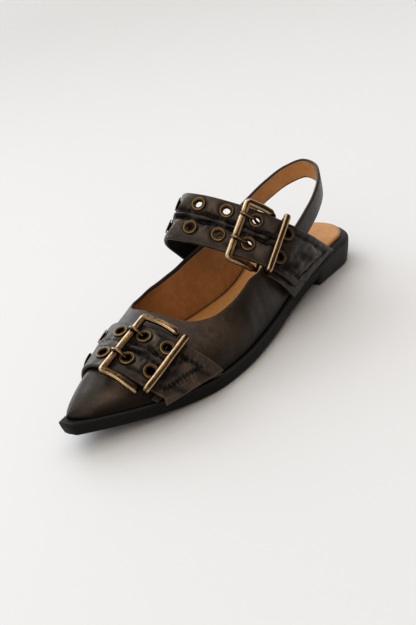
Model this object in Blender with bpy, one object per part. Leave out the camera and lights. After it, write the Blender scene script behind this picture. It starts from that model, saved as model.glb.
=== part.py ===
"""Left pointed-toe slingback flat with two buckled straps. Metres, +Z up, toe to -Y, outer side to +X."""
import math

import bmesh
import bpy
import numpy as np

MM = 0.001
GAP = 0.3 * MM

# Sole
SOLE_LENGTH = 270 * MM
HEEL_ROUND = 27 * MM
HEEL_HEIGHT = 17.4 * MM
HEEL_FLAT = 30 * MM
HEEL_BREAST = 58 * MM
BREAST_RUN = 1.5 * MM
BALL_LINE = 168 * MM
FOREFOOT_THICK = 9.4 * MM
WAIST_LIFT = 5.5 * MM
WAIST_POWER = 1.3
SPRING_START = 190 * MM
TOE_SPRING = 10.3 * MM
SPRING_POWER = 1.6
HEEL_TAPER = 3.5 * MM
SIDE_TAPER = 1.5 * MM
RIM_HEIGHT = 2.0 * MM
RIM_FADE = (70 * MM, 110 * MM)
SOLE_STATIONS = 22

# Insole
INSOLE_THICK = 1.8 * MM
INSOLE_INSET_HEEL = 4.6 * MM
INSOLE_INSET_TOE = 5.4 * MM
INSOLE_END = 250 * MM

# Upper
FEATHER_INSET = 2.5 * MM
TOE_INSET = 1.4 * MM
TOE_INSET_FADE = (205 * MM, 240 * MM)
WALL = 1.8 * MM
UPPER_TIP = 266 * MM
NOSE = 9 * MM
ARC_STEPS = 8

# Straps
TOE_WIDTH = {"front": 19.5, "rear": 18.5}
INSTEP_WIDTH = {"front": 17.9, "rear": 15.3}
STRAP_THICK = 2.6 * MM
TAB_THICK = 1.4 * MM
TOE_BASE_SHOWS = 1.0 * MM
HOLE_CELL = 6.0 * MM
EDGE_DROP = 0.8 * MM
EDGE_RISE = 0.5 * MM
VALLEY = 0.6 * MM
HOLE_RADIUS = 3.5 * MM
TOE_DROP = 8.0 * MM
TOE_SPAN = 0.97
SLING_WIDTH = 13.5 * MM
SLING_THICK = 2.2 * MM

# Hardware
BAR_RADIUS = 2.0 * MM
ROD_RADIUS = 1.5 * MM
KEEPER_RADIUS = 1.7 * MM
KEEPER_OVER = 1.7 * MM
KEEPER_BACK = 0.9 * MM
PRONG_RADIUS = 0.95 * MM
EYELET_SIDES = 12
UNDER_GAP = 0.4 * MM
HEEL_BAR_RADIUS = 1.0 * MM


def table(*names):
    """Turns rows of millimetres into named columns of metres."""
    def rows(*values):
        return {n: np.array([r[i] for r in values], float) * MM for i, n in enumerate(names)}
    return rows


OUTLINE = table("station", "medial", "lateral")(
    (0, -30.0, 30.0),
    (27, -30.0, 30.0),
    (60, -27.0, 30.0),
    (98, -22.0, 32.5),
    (132, -26.5, 38.6),
    (166, -36.0, 41.6),
    (192, -36.5, 39.0),
    (214, -31.5, 31.0),
    (236, -24.5, 19.6),
    (254, -18.8, 8.0),
    (270, -12.8, -3.0),
)

# Height is a share from bottom to top; rise and inset are lengths; rim is a share of the rim's height.
SOLE_RINGS = (
    {"inset": 1.5, "taper": 1.0, "height": 0.0, "rise": 0.0, "rim": 0.0},
    {"inset": 0.0, "taper": 1.0, "height": 0.0, "rise": 1.2, "rim": 0.0},
    {"inset": 0.0, "taper": 0.35, "height": 0.55, "rise": 0.0, "rim": 0.0},
    {"inset": 0.0, "taper": 0.0, "height": 1.0, "rise": -0.9, "rim": 0.0},
    {"inset": 0.7, "taper": 0.0, "height": 1.0, "rise": -0.15, "rim": 0.15},
    {"inset": 2.0, "taper": 0.0, "height": 1.0, "rise": 0.0, "rim": 0.7},
    {"inset": 4.2, "taper": 0.0, "height": 1.0, "rise": 0.0, "rim": 1.0},
)

LAST = table("station", "crest_x", "crest_z", "medial_bulge", "lateral_bulge")(
    (60, -2.0, 96.0, 9.0, -2.5),
    (100, -5.0, 80.0, 9.0, -2.5),
    (125, -8.0, 66.0, 7.5, 0.0),
    (148, -11.0, 56.0, 4.0, 1.0),
    (168, -13.0, 49.5, 2.0, 0.5),
    (185, -14.0, 45.0, 1.5, 0.0),
    (202, -14.0, 40.0, 0.8, 0.0),
    (220, -14.0, 35.8, 0.0, 0.0),
    (240, -13.0, 31.2, 0.0, 0.0),
    (252, -11.5, 27.6, 0.0, 0.0),
    (259, -10.0, 24.8, 0.0, 0.0),
    (266, -8.9, 21.6, 0.0, 0.0),
)

# Fullness of the section, in thousandths: 2000 is an ellipse, more is boxier.
FULLNESS = table("station", "medial", "lateral")(
    (60, 2400, 2000),
    (110, 2400, 2050),
    (150, 2500, 2150),
    (185, 2600, 1880),
    (220, 2350, 1730),
    (265, 2000, 2000),
)

# Each row is one column of the wall: where it leaves the sole, where it ends, and how far up the quarter.
TOPLINE = {
    "lateral": (
        {"foot": 91, "top": 121, "share": 0.345},
        {"foot": 100, "top": 126, "share": 0.365},
        {"foot": 110, "top": 131.5, "share": 0.384},
        {"foot": 122, "top": 140, "share": 0.392},
        {"foot": 134, "top": 149, "share": 0.403},
        {"foot": 146, "top": 158, "share": 0.421},
        {"foot": 157, "top": 168, "share": 0.453},
        {"foot": 166, "top": 175.5, "share": 0.505},
        {"foot": 173.5, "top": 181, "share": 0.580},
        {"foot": 179, "top": 184.3, "share": 0.690},
        {"foot": 183, "top": 185.5, "share": 0.830},
        {"foot": 185.5, "top": 185.8, "share": 1.0},
    ),
    "medial": (
        {"foot": 64, "top": 86, "share": 0.262},
        {"foot": 76, "top": 97, "share": 0.308},
        {"foot": 87, "top": 108, "share": 0.347},
        {"foot": 98, "top": 122, "share": 0.392},
        {"foot": 110, "top": 135, "share": 0.432},
        {"foot": 122, "top": 147, "share": 0.485},
        {"foot": 134, "top": 158, "share": 0.545},
        {"foot": 146, "top": 168, "share": 0.605},
        {"foot": 157, "top": 175, "share": 0.660},
        {"foot": 166, "top": 180, "share": 0.715},
        {"foot": 173.5, "top": 183, "share": 0.775},
        {"foot": 179, "top": 184.8, "share": 0.840},
        {"foot": 183, "top": 185.6, "share": 0.920},
        {"foot": 185.5, "top": 185.8, "share": 1.0},
    ),
}
VAMP_STATIONS = (192, 199, 206, 213, 220, 227, 234, 241, 247, 252.5, 257, 260.5, 263, 265.2, 266)

# Toe strap along the section: minus one is the medial feather edge, nought the crest, one the lateral edge.
TOE_PATH = table("station", "centre", "lift", "spread")(
    (-1000, 213.0, 3.0, 1000),
    (-750, 216.0, 1.0, 1000),
    (-450, 217.0, 0.6, 1000),
    (0, 216.8, 0.8, 1000),
    (200, 216.3, 1.8, 1000),
    (400, 215.6, 2.8, 1000),
    (620, 214.4, 2.9, 1010),
    (800, 211.2, 2.7, 1040),
    (1000, 207.2, 3.0, 1060),
)
TOE_END = {"medial": 2.0, "front": 56.0, "rear": 70.0}
TOE_EYELETS = {"along": (-14.4, 2.4, 19.2, 35.4), "row": 9.1}
TOE_BUCKLE = {"bar": 12.2, "heel_bar": 34.6, "keeper": 41.2, "keeper_near": 39.0, "prong": 19.2,
              "middle": -1.0, "half": 22.7, "keeper_half": 20.9}
TOE_TAB = {"top": 45.0, "front": -23.0, "rear": 17.0}

# Instep strap: centre points of its outer face from the medial edge to the lateral edge. Lean is the rise
# of the width line towards the heel in degrees, yaw the inward turn of its rear end in degrees.
INSTEP_PATH = (
    {"x": -29.0, "u": 55.6, "z": -1.0, "lean": 38, "yaw": 1, "spread": 1.25},
    {"x": -32.5, "u": 70.6, "z": 17.5, "lean": 38, "yaw": 2, "spread": 1.15},
    {"x": -36.0, "u": 85.6, "z": 36.0, "lean": 38, "yaw": 3, "spread": 1.05},
    {"x": -37.8, "u": 100.6, "z": 54.5, "lean": 38, "yaw": 4, "spread": 1.0},
    {"x": -36.8, "u": 112.6, "z": 69.5, "lean": 38, "yaw": 4, "spread": 1.0},
    {"x": -30.0, "u": 118.0, "z": 76.1, "lean": 38, "yaw": 3, "spread": 1.0},
    {"x": -15.6, "u": 117.7, "z": 75.5, "lean": 38, "yaw": 0, "spread": 1.0},
    {"x": 1.2, "u": 112.5, "z": 69.2, "lean": 38, "yaw": 0, "spread": 1.0},
    {"x": 18.0, "u": 106.1, "z": 60.7, "lean": 38, "yaw": -3, "spread": 1.0},
    {"x": 33.8, "u": 97.3, "z": 48.2, "lean": 38, "yaw": -6, "spread": 1.03},
    {"x": 37.0, "u": 83.3, "z": 33.1, "lean": 38, "yaw": -4, "spread": 1.12},
    {"x": 35.6, "u": 68.0, "z": 17.8, "lean": 38, "yaw": -2, "spread": 1.2},
)
INSTEP_ZERO = 7
INSTEP_CUT = {
    "inner": {"rear_u": 43, "rear_z": 17.9, "front_u": 100, "front_z": 13.8},
    "outer": {"rear_u": 43, "rear_z": 21.0, "front_u": 100, "front_z": 20.0},
}
INSTEP_BASE_SHOWS = {"front": 9.2, "rear": 4.9}
INSTEP_TUCK = (17 * MM, 32.5 * MM)
TUCK_INSIDE = 1.2 * MM
OUTER_TUCK = 1.3 * MM
INSTEP_EYELETS = {"along": (-37.5, -18.3, 0.2, 19.6, 40.6), "row": 8.2}
INSTEP_BUCKLE = {"bar": 11.0, "heel_bar": 29.8, "keeper": 36.4, "keeper_near": 36.7, "prong": 19.6,
                 "middle": -2.0, "half": 19.6, "keeper_half": 18.8}
INSTEP_TAB = {"top": 42.0, "front": -21.5, "rear": 14.0}

# Slingback: centre points of its outer face from the medial end to the lateral end.
SLING_PATH = (
    {"x": -32.3, "u": 84.0, "z": 39.5},
    {"x": -31.3, "u": 72.0, "z": 43.2},
    {"x": -27.6, "u": 52.0, "z": 49.8},
    {"x": -22.0, "u": 32.0, "z": 56.6},
    {"x": -13.4, "u": 16.5, "z": 62.0},
    {"x": -2.4, "u": 9.5, "z": 64.6},
    {"x": 9.4, "u": 13.0, "z": 63.6},
    {"x": 20.0, "u": 25.5, "z": 60.2},
    {"x": 27.4, "u": 45.0, "z": 55.0},
    {"x": 30.0, "u": 65.0, "z": 49.0},
    {"x": 29.9, "u": 80.0, "z": 43.2},
)

# Turned profile of an eyelet: radius and height over the strap's full face.
EYELET_PROFILE = (
    {"radius": 2.3, "height": -1.7},
    {"radius": 2.7, "height": -1.7},
    {"radius": 2.7, "height": 0.3},
    {"radius": 4.7, "height": 0.3},
    {"radius": 4.5, "height": 0.75},
    {"radius": 3.5, "height": 1.15},
    {"radius": 2.5, "height": 0.8},
)

COLOURS = {
    "sole": (0.022, 0.021, 0.021),
    "insole": (0.56, 0.31, 0.12),
    "upper": (0.045, 0.028, 0.02),
    "strap": (0.03, 0.023, 0.02),
    "brass": (0.34, 0.22, 0.09),
}


def smooth(rows, column, station):
    """Cubic curve through a table's column, its slopes taken from the neighbouring rows."""
    x, y = rows["station"], rows[column]
    slope = np.gradient(y, x)
    u = np.clip(np.asarray(station, float), x[0], x[-1])
    i = np.clip(np.searchsorted(x, u, side="right") - 1, 0, len(x) - 2)
    h = x[i + 1] - x[i]
    t = (u - x[i]) / h
    start = (2 * t**3 - 3 * t**2 + 1) * y[i] + (t**3 - 2 * t**2 + t) * h * slope[i]
    return start + (3 * t**2 - 2 * t**3) * y[i + 1] + (t**3 - t**2) * h * slope[i + 1]


def fade(value, ends):
    """Soft step from nought to one between two ends."""
    t = np.clip((np.asarray(value, float) - ends[0]) / (ends[1] - ends[0]), 0, 1)
    return t * t * (3 - 2 * t)


def place(x, u, z):
    """Point from outward x, station from the heel back and height."""
    x, u, z = np.broadcast_arrays(x, u, z)
    return np.stack([x, SOLE_LENGTH / 2 - u, z], -1)


def unit(v):
    return v / np.maximum(np.linalg.norm(v, axis=-1, keepdims=True), 1e-12)


def spring(u):
    return TOE_SPRING * np.clip((u - SPRING_START) / (SOLE_LENGTH - SPRING_START), 0, 1) ** SPRING_POWER


def rim(u):
    return RIM_HEIGHT * (1 - fade(u, RIM_FADE))


def sole_top(u):
    fall = np.clip(1 - (u - HEEL_FLAT) / (BALL_LINE - HEEL_FLAT), 0, 1)
    return FOREFOOT_THICK + (HEEL_HEIGHT - FOREFOOT_THICK) * fall**WAIST_POWER + spring(u)


def sole_bottom(u):
    fall = np.clip(1 - (u - HEEL_BREAST) / (BALL_LINE - HEEL_BREAST), 0, 1)
    waist = np.where(u < HEEL_BREAST, 0.0, WAIST_LIFT * fall**WAIST_POWER)
    return waist + spring(u)


def edge(side, u):
    """x of the sole's widest line; its heel end is half an ellipse."""
    u = np.asarray(u, float)
    back = np.clip((HEEL_ROUND - u) / HEEL_ROUND, 0, 1)
    return smooth(OUTLINE, side, np.maximum(u, HEEL_ROUND)) * np.sqrt(1 - back**2)


def stations(end):
    """Stations from the heel back to an end: close round the heel and a pair at the heel breast."""
    turn = np.linspace(0, math.pi / 2, 9)
    heel = HEEL_ROUND * (1 - np.cos(turn))
    breast = np.array([38 * MM, 48 * MM, HEEL_BREAST - BREAST_RUN, HEEL_BREAST])
    rest = np.linspace(HEEL_BREAST, SOLE_LENGTH, SOLE_STATIONS)[1:]
    return np.concatenate([heel, breast, rest[rest < end - 1 * MM], [end]])


def outline(us, inset):
    """Closed loop along the outer side to the toe and back along the inner side, moved in square
    to itself."""
    u = np.concatenate([us, us[:0:-1]])
    x = np.concatenate([edge("lateral", us), edge("medial", us[:0:-1])])
    loop = np.stack([x, u], -1)
    before = unit(loop - np.roll(loop, 1, 0))
    after = unit(np.roll(loop, -1, 0) - loop)
    n1 = np.stack([-before[:, 1], before[:, 0]], -1)
    n2 = np.stack([-after[:, 1], after[:, 0]], -1)
    shift = (n1 + n2) / np.maximum(1 + np.sum(n1 * n2, -1, keepdims=True), 0.3)
    return loop + shift * np.broadcast_to(inset, u.shape)[:, None], u


def feather(u):
    return FEATHER_INSET + (TOE_INSET - FEATHER_INSET) * fade(u, TOE_INSET_FADE)


def section(side, u, phi, shrink=0.0):
    """Point of the last: a bulged quarter superellipse from the feather edge to the crest, made smaller for
    the inner face of the wall."""
    tip = UPPER_TIP - 1.6 * shrink
    nose = np.sqrt(1 - np.clip((u - (tip - NOSE)) / NOSE, 0, 1) ** 2)
    out = -1 if side == "medial" else 1
    crest_x, crest_z = smooth(LAST, "crest_x", u), smooth(LAST, "crest_z", u) - shrink
    foot_x = crest_x + (edge(side, u) - out * (feather(u) + shrink) - crest_x) * nose
    foot_z = sole_top(u) + rim(u) + GAP
    power = 2 / (2 + (smooth(FULLNESS, side, u) - 2) * nose)
    across = np.maximum(np.cos(phi), 0) ** power
    up = np.maximum(np.sin(phi), 0) ** power
    bulge = out * smooth(LAST, side + "_bulge", u) * np.sin(2 * phi)
    return place(crest_x + (foot_x - crest_x) * across + bulge, u, foot_z + (crest_z - foot_z) * up)


def grid_faces(rows, columns, start=0, wrap=False):
    """Quads of a grid of points laid out row by row."""
    r, c = np.meshgrid(np.arange(rows - 1), np.arange(columns if wrap else columns - 1), indexing="ij")
    a = r * columns + c
    b = r * columns + (c + 1) % columns
    quads = np.stack([a, b, b + columns, a + columns], -1).reshape(-1, 4) + start
    return [tuple(int(v) for v in q) for q in quads]


def material(name, colour, metal, rough):
    mat = bpy.data.materials.new(name)
    mat.use_nodes = True
    node = mat.node_tree.nodes["Principled BSDF"]
    node.inputs["Base Color"].default_value = (*colour, 1)
    node.inputs["Metallic"].default_value = metal
    node.inputs["Roughness"].default_value = rough
    return mat


def solid(name, points, faces, colour, metal=0.0, rough=0.6):
    """Mesh object with equal points joined and its faces turned out."""
    points = np.asarray(points, float)
    keys, first, back = np.unique(np.round(points / 1e-6), axis=0, return_index=True, return_inverse=True)
    back = back.reshape(-1)
    clean = []
    for face in faces:
        ring = []
        for v in (int(back[i]) for i in face):
            if v not in ring:
                ring.append(v)
        if len(ring) > 2:
            clean.append(ring)
    mesh = bpy.data.meshes.new(name)
    mesh.from_pydata([tuple(p) for p in points[first]], [], clean)
    form = bmesh.new()
    form.from_mesh(mesh)
    bmesh.ops.recalc_face_normals(form, faces=form.faces)
    if form.calc_volume(signed=True) < 0:
        bmesh.ops.reverse_faces(form, faces=form.faces)
    form.to_mesh(mesh)
    form.free()
    obj = bpy.data.objects.new(name, mesh)
    bpy.context.scene.collection.objects.link(obj)
    obj.data.materials.append(material(name + "_finish", colour, metal, rough))
    return obj


def shell(name, face_points, back_points, faces, colour, metal=0.0, rough=0.6):
    """Closed wall between a face and its back, joined along every free edge."""
    count = len(face_points)
    keys, back = np.unique(np.round(np.asarray(face_points) / 1e-6), axis=0, return_inverse=True)
    back = back.reshape(-1)
    seen = {}
    for face in faces:
        for a, b in zip(face, face[1:] + face[:1]):
            ends = tuple(sorted((int(back[a]), int(back[b]))))
            if ends[0] != ends[1]:
                seen.setdefault(ends, []).append((a, b))
    sides = [(b, a, a + count, b + count) for uses in seen.values() if len(uses) == 1 for a, b in uses]
    behind = [tuple(i + count for i in reversed(f)) for f in faces]
    points = np.concatenate([face_points, back_points])
    return solid(name, points, list(faces) + behind + sides, colour, metal, rough)


def lofted(name, us, rings, colour, rough):
    """Solid from stacked outline loops, closed below and above by a ladder across the paired stations."""
    points = np.concatenate(rings)
    size = len(rings[0])
    faces = grid_faces(len(rings), size, wrap=True)
    last = (len(rings) - 1) * size
    for k in range(len(us) - 1):
        rung = [k, k + 1, (size - k - 1) % size, (size - k) % size]
        faces.append(tuple(reversed(rung)))
        faces.append(tuple(last + i for i in rung))
    return solid(name, points, faces, colour, rough=rough)


def build_sole():
    us = stations(SOLE_LENGTH)
    rings = []
    for row in SOLE_RINGS:
        u = np.concatenate([us, us[:0:-1]])
        taper = SIDE_TAPER + (HEEL_TAPER - SIDE_TAPER) * (1 - fade(u, (HEEL_BREAST, 100 * MM)))
        loop, u = outline(us, row["inset"] * MM + row["taper"] * taper)
        low, high = sole_bottom(u), sole_top(loop[:, 1])
        z = low + row["height"] * (high - low) + row["rise"] * MM + row["rim"] * rim(u)
        rings.append(place(loop[:, 0], loop[:, 1], z))
    return lofted("unit_sole", us, rings, COLOURS["sole"], 0.75)


def build_insole():
    us = stations(INSOLE_END)
    rings = []
    for inset, height in ((0.5, 0.0), (0.0, 0.25), (0.0, 0.75), (0.6, 1.0)):
        u = np.concatenate([us, us[:0:-1]])
        base = INSOLE_INSET_HEEL + (INSOLE_INSET_TOE - INSOLE_INSET_HEEL) * fade(u, RIM_FADE)
        loop, u = outline(us, base + inset * MM)
        z = sole_top(loop[:, 1]) + rim(u) + GAP + height * INSOLE_THICK
        rings.append(place(loop[:, 0], loop[:, 1], z))
    return lofted("insole", us, rings, COLOURS["insole"], 0.6)


def upper_grid(side, shrink=0.0):
    """Columns of the wall from the rear edge to the toe, each from the feather edge up."""
    rise = np.linspace(0, 1, ARC_STEPS + 1)
    foot = np.array([r["foot"] for r in TOPLINE[side]] + list(VAMP_STATIONS)) * MM
    top = np.array([r["top"] for r in TOPLINE[side]] + list(VAMP_STATIONS)) * MM
    share = np.array([r["share"] for r in TOPLINE[side]] + [1.0] * len(VAMP_STATIONS))
    u = foot[:, None] + (top - foot)[:, None] * rise
    fore = 225 * MM
    u = np.where(u > fore, fore + (u - fore) * (UPPER_TIP - 1.6 * shrink - fore) / (UPPER_TIP - fore), u)
    return section(side, u, share[:, None] * rise * math.pi / 2, shrink)


def build_upper():
    face, back, faces, start = [], [], [], 0
    for side in ("lateral", "medial"):
        grid = upper_grid(side)
        face.append(grid.reshape(-1, 3))
        back.append(upper_grid(side, WALL).reshape(-1, 3))
        quads = grid_faces(grid.shape[0], grid.shape[1], start)
        faces += quads if side == "lateral" else [tuple(reversed(q)) for q in quads]
        start += grid.shape[0] * grid.shape[1]
    return shell("upper", np.concatenate(face), np.concatenate(back), faces, COLOURS["upper"], rough=0.45)


class Band:
    """A strap's outer face: points by length along it (growing outwards to the lateral side) and distance
    across it (growing to the heel), with a height square to it."""

    def __init__(self, lines, across, zero, step=0.5 * MM):
        length = np.cumsum(np.linalg.norm(np.diff(lines, axis=1), axis=-1), axis=1)
        length = np.concatenate([np.zeros((len(lines), 1)), length], 1)
        along = length - length[:, zero:zero + 1]
        self.first, self.last = along[:, 0], along[:, -1]
        self.across, self.step = across, step
        self.origin = along.min()
        self.along = np.arange(self.origin, along.max() + step, step)
        grid = []
        for line, run in zip(lines, along):
            inner = np.stack([np.interp(self.along, run, line[:, k]) for k in range(3)], -1)
            head = unit(line[0] - line[1]) * np.maximum(run[0] - self.along, 0)[:, None]
            tail = unit(line[-1] - line[-2]) * np.maximum(self.along - run[-1], 0)[:, None]
            grid.append(inner + head + tail)
        self.grid = np.array(grid)
        run = np.gradient(self.grid, step, axis=1)
        wide = np.gradient(self.grid, across, axis=0)
        self.normal = unit(np.cross(run, wide))

    def look_up(self, values, s, w):
        s, w = np.broadcast_arrays(np.asarray(s, float), np.asarray(w, float))
        i = np.clip((s - self.origin) / self.step, 0, len(self.along) - 1.001)
        j = (w - self.across[0]) / (self.across[1] - self.across[0])
        i0, j0 = i.astype(int), np.clip(j, 0, len(self.across) - 2).astype(int)
        fi, fj = (i - i0)[..., None], (j - j0)[..., None]
        near = values[j0, i0] * (1 - fi) + values[j0, i0 + 1] * fi
        far = values[j0 + 1, i0] * (1 - fi) + values[j0 + 1, i0 + 1] * fi
        return near * (1 - fj) + far * fj

    def at(self, s, w, h=0.0):
        normal = unit(self.look_up(self.normal, s, w))
        return self.look_up(self.grid, s, w) + normal * np.asarray(h, float)[..., None]

    def frame(self, s, w):
        """Origin, direction along, direction across and normal at one point."""
        centre, normal = self.at(s, w), unit(self.look_up(self.normal, s, w))
        along = unit(self.at(s + self.step, w) - self.at(s - self.step, w))
        wide = unit(np.cross(normal, along))
        return centre, np.cross(wide, normal), wide, normal

    def ends(self, w):
        return np.interp(w, self.across, self.first), np.interp(w, self.across, self.last)


def toe_band():
    """The toe strap's face: the last's own section lifted off it, and let down a little beyond the
    sole's edge."""
    across = np.linspace(-TOE_WIDTH["front"], TOE_WIDTH["rear"], 27) * MM
    turn = np.linspace(-1, 1, 241)
    lift = smooth(TOE_PATH, "lift", turn) + STRAP_THICK
    lines, normals = [], []
    for w in across:
        u = smooth(TOE_PATH, "centre", turn) - w * TOE_SPAN * smooth(TOE_PATH, "spread", turn)
        phi = (1 - np.abs(turn)) * math.pi / 2
        base = np.where((turn < 0)[:, None], section("medial", u, phi), section("lateral", u, phi))
        slope = np.gradient(base[:, [0, 2]], axis=0)
        normal = unit(np.stack([-slope[:, 1], 0 * turn, slope[:, 0]], -1))
        lines.append(base + normal * lift[:, None])
        normals.append(normal)
    lines, normals = np.array(lines), np.array(normals)
    share = np.linspace(0, 1, len(across))[:, None, None]
    straight = lines[0] * (1 - share) + lines[-1] * share
    crown = np.max(np.sum((lines - straight) * normals, -1), axis=0)
    lines = straight + normals[len(across) // 2] * crown[:, None]
    drop = np.array([0, 0, -TOE_DROP])
    lines = np.concatenate([lines[:, :1] + drop, lines, lines[:, -1:] + drop], 1)
    band = Band(lines, across, 121)
    band.base = band.last - TOE_DROP + TOE_BASE_SHOWS
    band.first = band.first + TOE_DROP - TOE_END["medial"] * MM
    band.last = np.interp(across, across[[0, -1]], np.array([TOE_END["front"], TOE_END["rear"]]) * MM)
    return band


def through(rows, names, steps):
    """Even samples of a smooth curve through rows, spaced by the chord between them."""
    points = np.array([[r[n] for n in names] for r in rows], float)
    chord = np.concatenate([[0], np.cumsum(np.linalg.norm(np.diff(points[:, :3], axis=0), axis=1))])
    columns = {n: points[:, i] for i, n in enumerate(names)}
    columns["station"] = chord
    spans = [np.linspace(a, b, steps, endpoint=False) for a, b in zip(chord, chord[1:])]
    at = np.concatenate(spans + [[chord[-1]]])
    return {n: smooth(columns, n, at) for n in names}


def cut_level(leg, y):
    """Height at which a leg of the instep strap is cut: a straight fall from the heel to the waist."""
    row = INSTEP_CUT[leg]
    rear = place(0, row["rear_u"] * MM, row["rear_z"] * MM)
    front = place(0, row["front_u"] * MM, row["front_z"] * MM)
    return front[2] + (y - front[1]) * (rear[2] - front[2]) / (rear[1] - front[1])


def tucked(points, zero):
    """Legs of the instep strap drawn in over the sole's edge, more and more towards their feet."""
    origin = place(0, 0, 0)
    beside = edge("medial", origin[1] - points[..., 1]) - STRAP_THICK + TUCK_INSIDE + origin[0]
    pull = 1 - fade(points[..., 2], INSTEP_TUCK)
    inward = np.where(np.arange(points.shape[1]) < zero, beside - points[..., 0], -OUTER_TUCK)
    moved = points.copy()
    moved[..., 0] += inward * pull
    return moved


def instep_band():
    """The instep strap's face: straight width lines along a smooth path, cut level with the sole."""
    path = through(INSTEP_PATH, ("x", "u", "z", "lean", "yaw", "spread"), 20)
    across = np.linspace(-INSTEP_WIDTH["front"], INSTEP_WIDTH["rear"], 27) * MM
    lean, yaw = np.radians(path["lean"]), np.radians(path["yaw"])
    wide = np.stack([np.sin(yaw), np.cos(lean) * np.cos(yaw), np.sin(lean) * np.cos(yaw)], -1)
    wide = wide * path["spread"][:, None]
    centre = place(path["x"] * MM, path["u"] * MM, path["z"] * MM)
    lines = np.array([centre + wide * w for w in across])
    zero = INSTEP_ZERO * 20
    lines = tucked(lines, zero)
    cut = []
    for line in lines:
        ends = []
        for leg, part in (("inner", slice(zero, None, -1)), ("outer", slice(zero, None, 1))):
            run = line[part]
            high = run[:, 2] - cut_level(leg, run[:, 1])
            low = np.argmax(high < 0) if np.any(high < 0) else 0
            if low:
                t = high[low - 1] / (high[low - 1] - high[low])
                stop = run[low - 1] + t * (run[low] - run[low - 1])
                keep = np.concatenate([run[:low], [stop]])
            else:
                heading = unit(run[-1] - run[-2])
                keep = np.concatenate([run, [run[-1] + heading * high[-1] / max(-heading[2], 0.2)]])
            spaced = np.linspace(0, 1, 201)
            length = np.concatenate([[0], np.cumsum(np.linalg.norm(np.diff(keep, axis=0), axis=1))])
            even = spaced * length[-1]
            ends.append(np.stack([np.interp(even, length, keep[:, k]) for k in range(3)], -1))
        cut.append(np.concatenate([ends[0][:0:-1], ends[1]]))
    band = Band(np.array(cut), across, 200)
    shows = [INSTEP_BASE_SHOWS[end] * MM for end in ("front", "rear")]
    band.base = band.last + np.interp(across, across[[0, -1]], shows)
    return band


def build_strap(name, band, eyelets, medial_steps, lateral_steps):
    """Padded band with a valley along its middle and a round hole for every eyelet."""
    cell, half = HOLE_CELL, eyelets["row"] * MM
    across = np.array([band.across[0], -half - cell, -half, cell - half, 0,
                       half - cell, half, half + cell, band.across[-1]])
    drop = np.array([EDGE_DROP, 0, 0, 0, VALLEY, 0, 0, 0, EDGE_DROP])
    thick = STRAP_THICK - np.array([EDGE_RISE, 0, 0, 0, 0, 0, 0, 0, EDGE_RISE])
    first, last = band.ends(across)
    places = np.array(eyelets["along"]) * MM
    begin, end = places[0] - cell, places[-1] + cell
    columns = [begin + (first - begin) * t for t in np.linspace(1, 0, medial_steps, endpoint=False)]
    spots = []
    for k, s in enumerate(places):
        if k and s - places[k - 1] > 2.7 * cell:
            columns.append(np.full(len(across), (s + places[k - 1]) / 2))
        spots.append(len(columns) + 1)
        columns += [np.full(len(across), s + d) for d in (-cell, 0, cell)]
    columns += [end + (last - end) * t for t in np.linspace(0, 1, lateral_steps + 1)[1:]]
    run = np.array(columns)
    wide = np.broadcast_to(across, run.shape)
    face = band.at(run, wide, np.broadcast_to(-drop, run.shape)).reshape(-1, 3)
    back = band.at(run, wide, np.broadcast_to(-thick, run.shape)).reshape(-1, 3)
    rows, wide_count = run.shape
    centres = {}
    for row, s in zip(spots, places):
        for j in (2, 6):
            centres[(row, j)] = (s, across[j])
    gone = {(r - a, c - b) for r, c in centres for a in (0, 1) for b in (0, 1)}
    faces = []
    for r in range(rows - 1):
        for c in range(wide_count - 1):
            if (r, c) not in gone:
                a = r * wide_count + c
                faces.append((a, a + 1, a + 1 + wide_count, a + wide_count))
    face, back = list(face), list(back)
    around = ((-1, -1), (-1, 0), (-1, 1), (0, 1), (1, 1), (1, 0), (1, -1), (0, -1))
    for (r, c), (s, w) in centres.items():
        rim_points = [(r + a) * wide_count + c + b for a, b in around]
        start = len(face)
        for a, b in around:
            size = HOLE_RADIUS / math.hypot(a, b)
            spot = band.at(s + a * size, w + b * size)
            low = band.at(s + a * size, w + b * size, -STRAP_THICK)
            face.append(spot)
            back.append(low)
        for k in range(8):
            n = (k + 1) % 8
            faces.append((rim_points[k], rim_points[n], start + n, start + k))
    return shell(name, np.array(face), np.array(back), faces, COLOURS["strap"], rough=0.5)


def build_tab(name, band, tab):
    """Base under the strap's outer end: a thinner layer just below it that shows along its front edge."""
    across = np.linspace(tab["front"], tab["rear"], 6) * MM
    ends = np.polyval(np.polyfit(band.across, band.base, 1), across)
    top = tab["top"] * MM
    run = np.array([top + (ends - top) * t for t in np.linspace(0, 1, 7)])
    wide = np.broadcast_to(across, run.shape)
    high = -STRAP_THICK - 2 * GAP
    face = band.at(run, wide, np.full(run.shape, high)).reshape(-1, 3)
    back = band.at(run, wide, np.full(run.shape, high - TAB_THICK)).reshape(-1, 3)
    return shell(name, face, back, grid_faces(*run.shape), COLOURS["strap"], rough=0.5)


def build_eyelet(name, band, s, w):
    centre, along, wide, normal = band.frame(s, w)
    turn = np.arange(EYELET_SIDES) * 2 * math.pi / EYELET_SIDES
    rings = []
    for row in EYELET_PROFILE:
        spoke = np.cos(turn)[:, None] * along + np.sin(turn)[:, None] * wide
        rings.append(centre + spoke * row["radius"] * MM + normal * row["height"] * MM)
    points = np.concatenate(rings + [rings[0]])
    faces = grid_faces(len(rings) + 1, EYELET_SIDES, wrap=True)
    return solid(name, points, faces, COLOURS["brass"], 1.0, 0.4)


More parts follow.
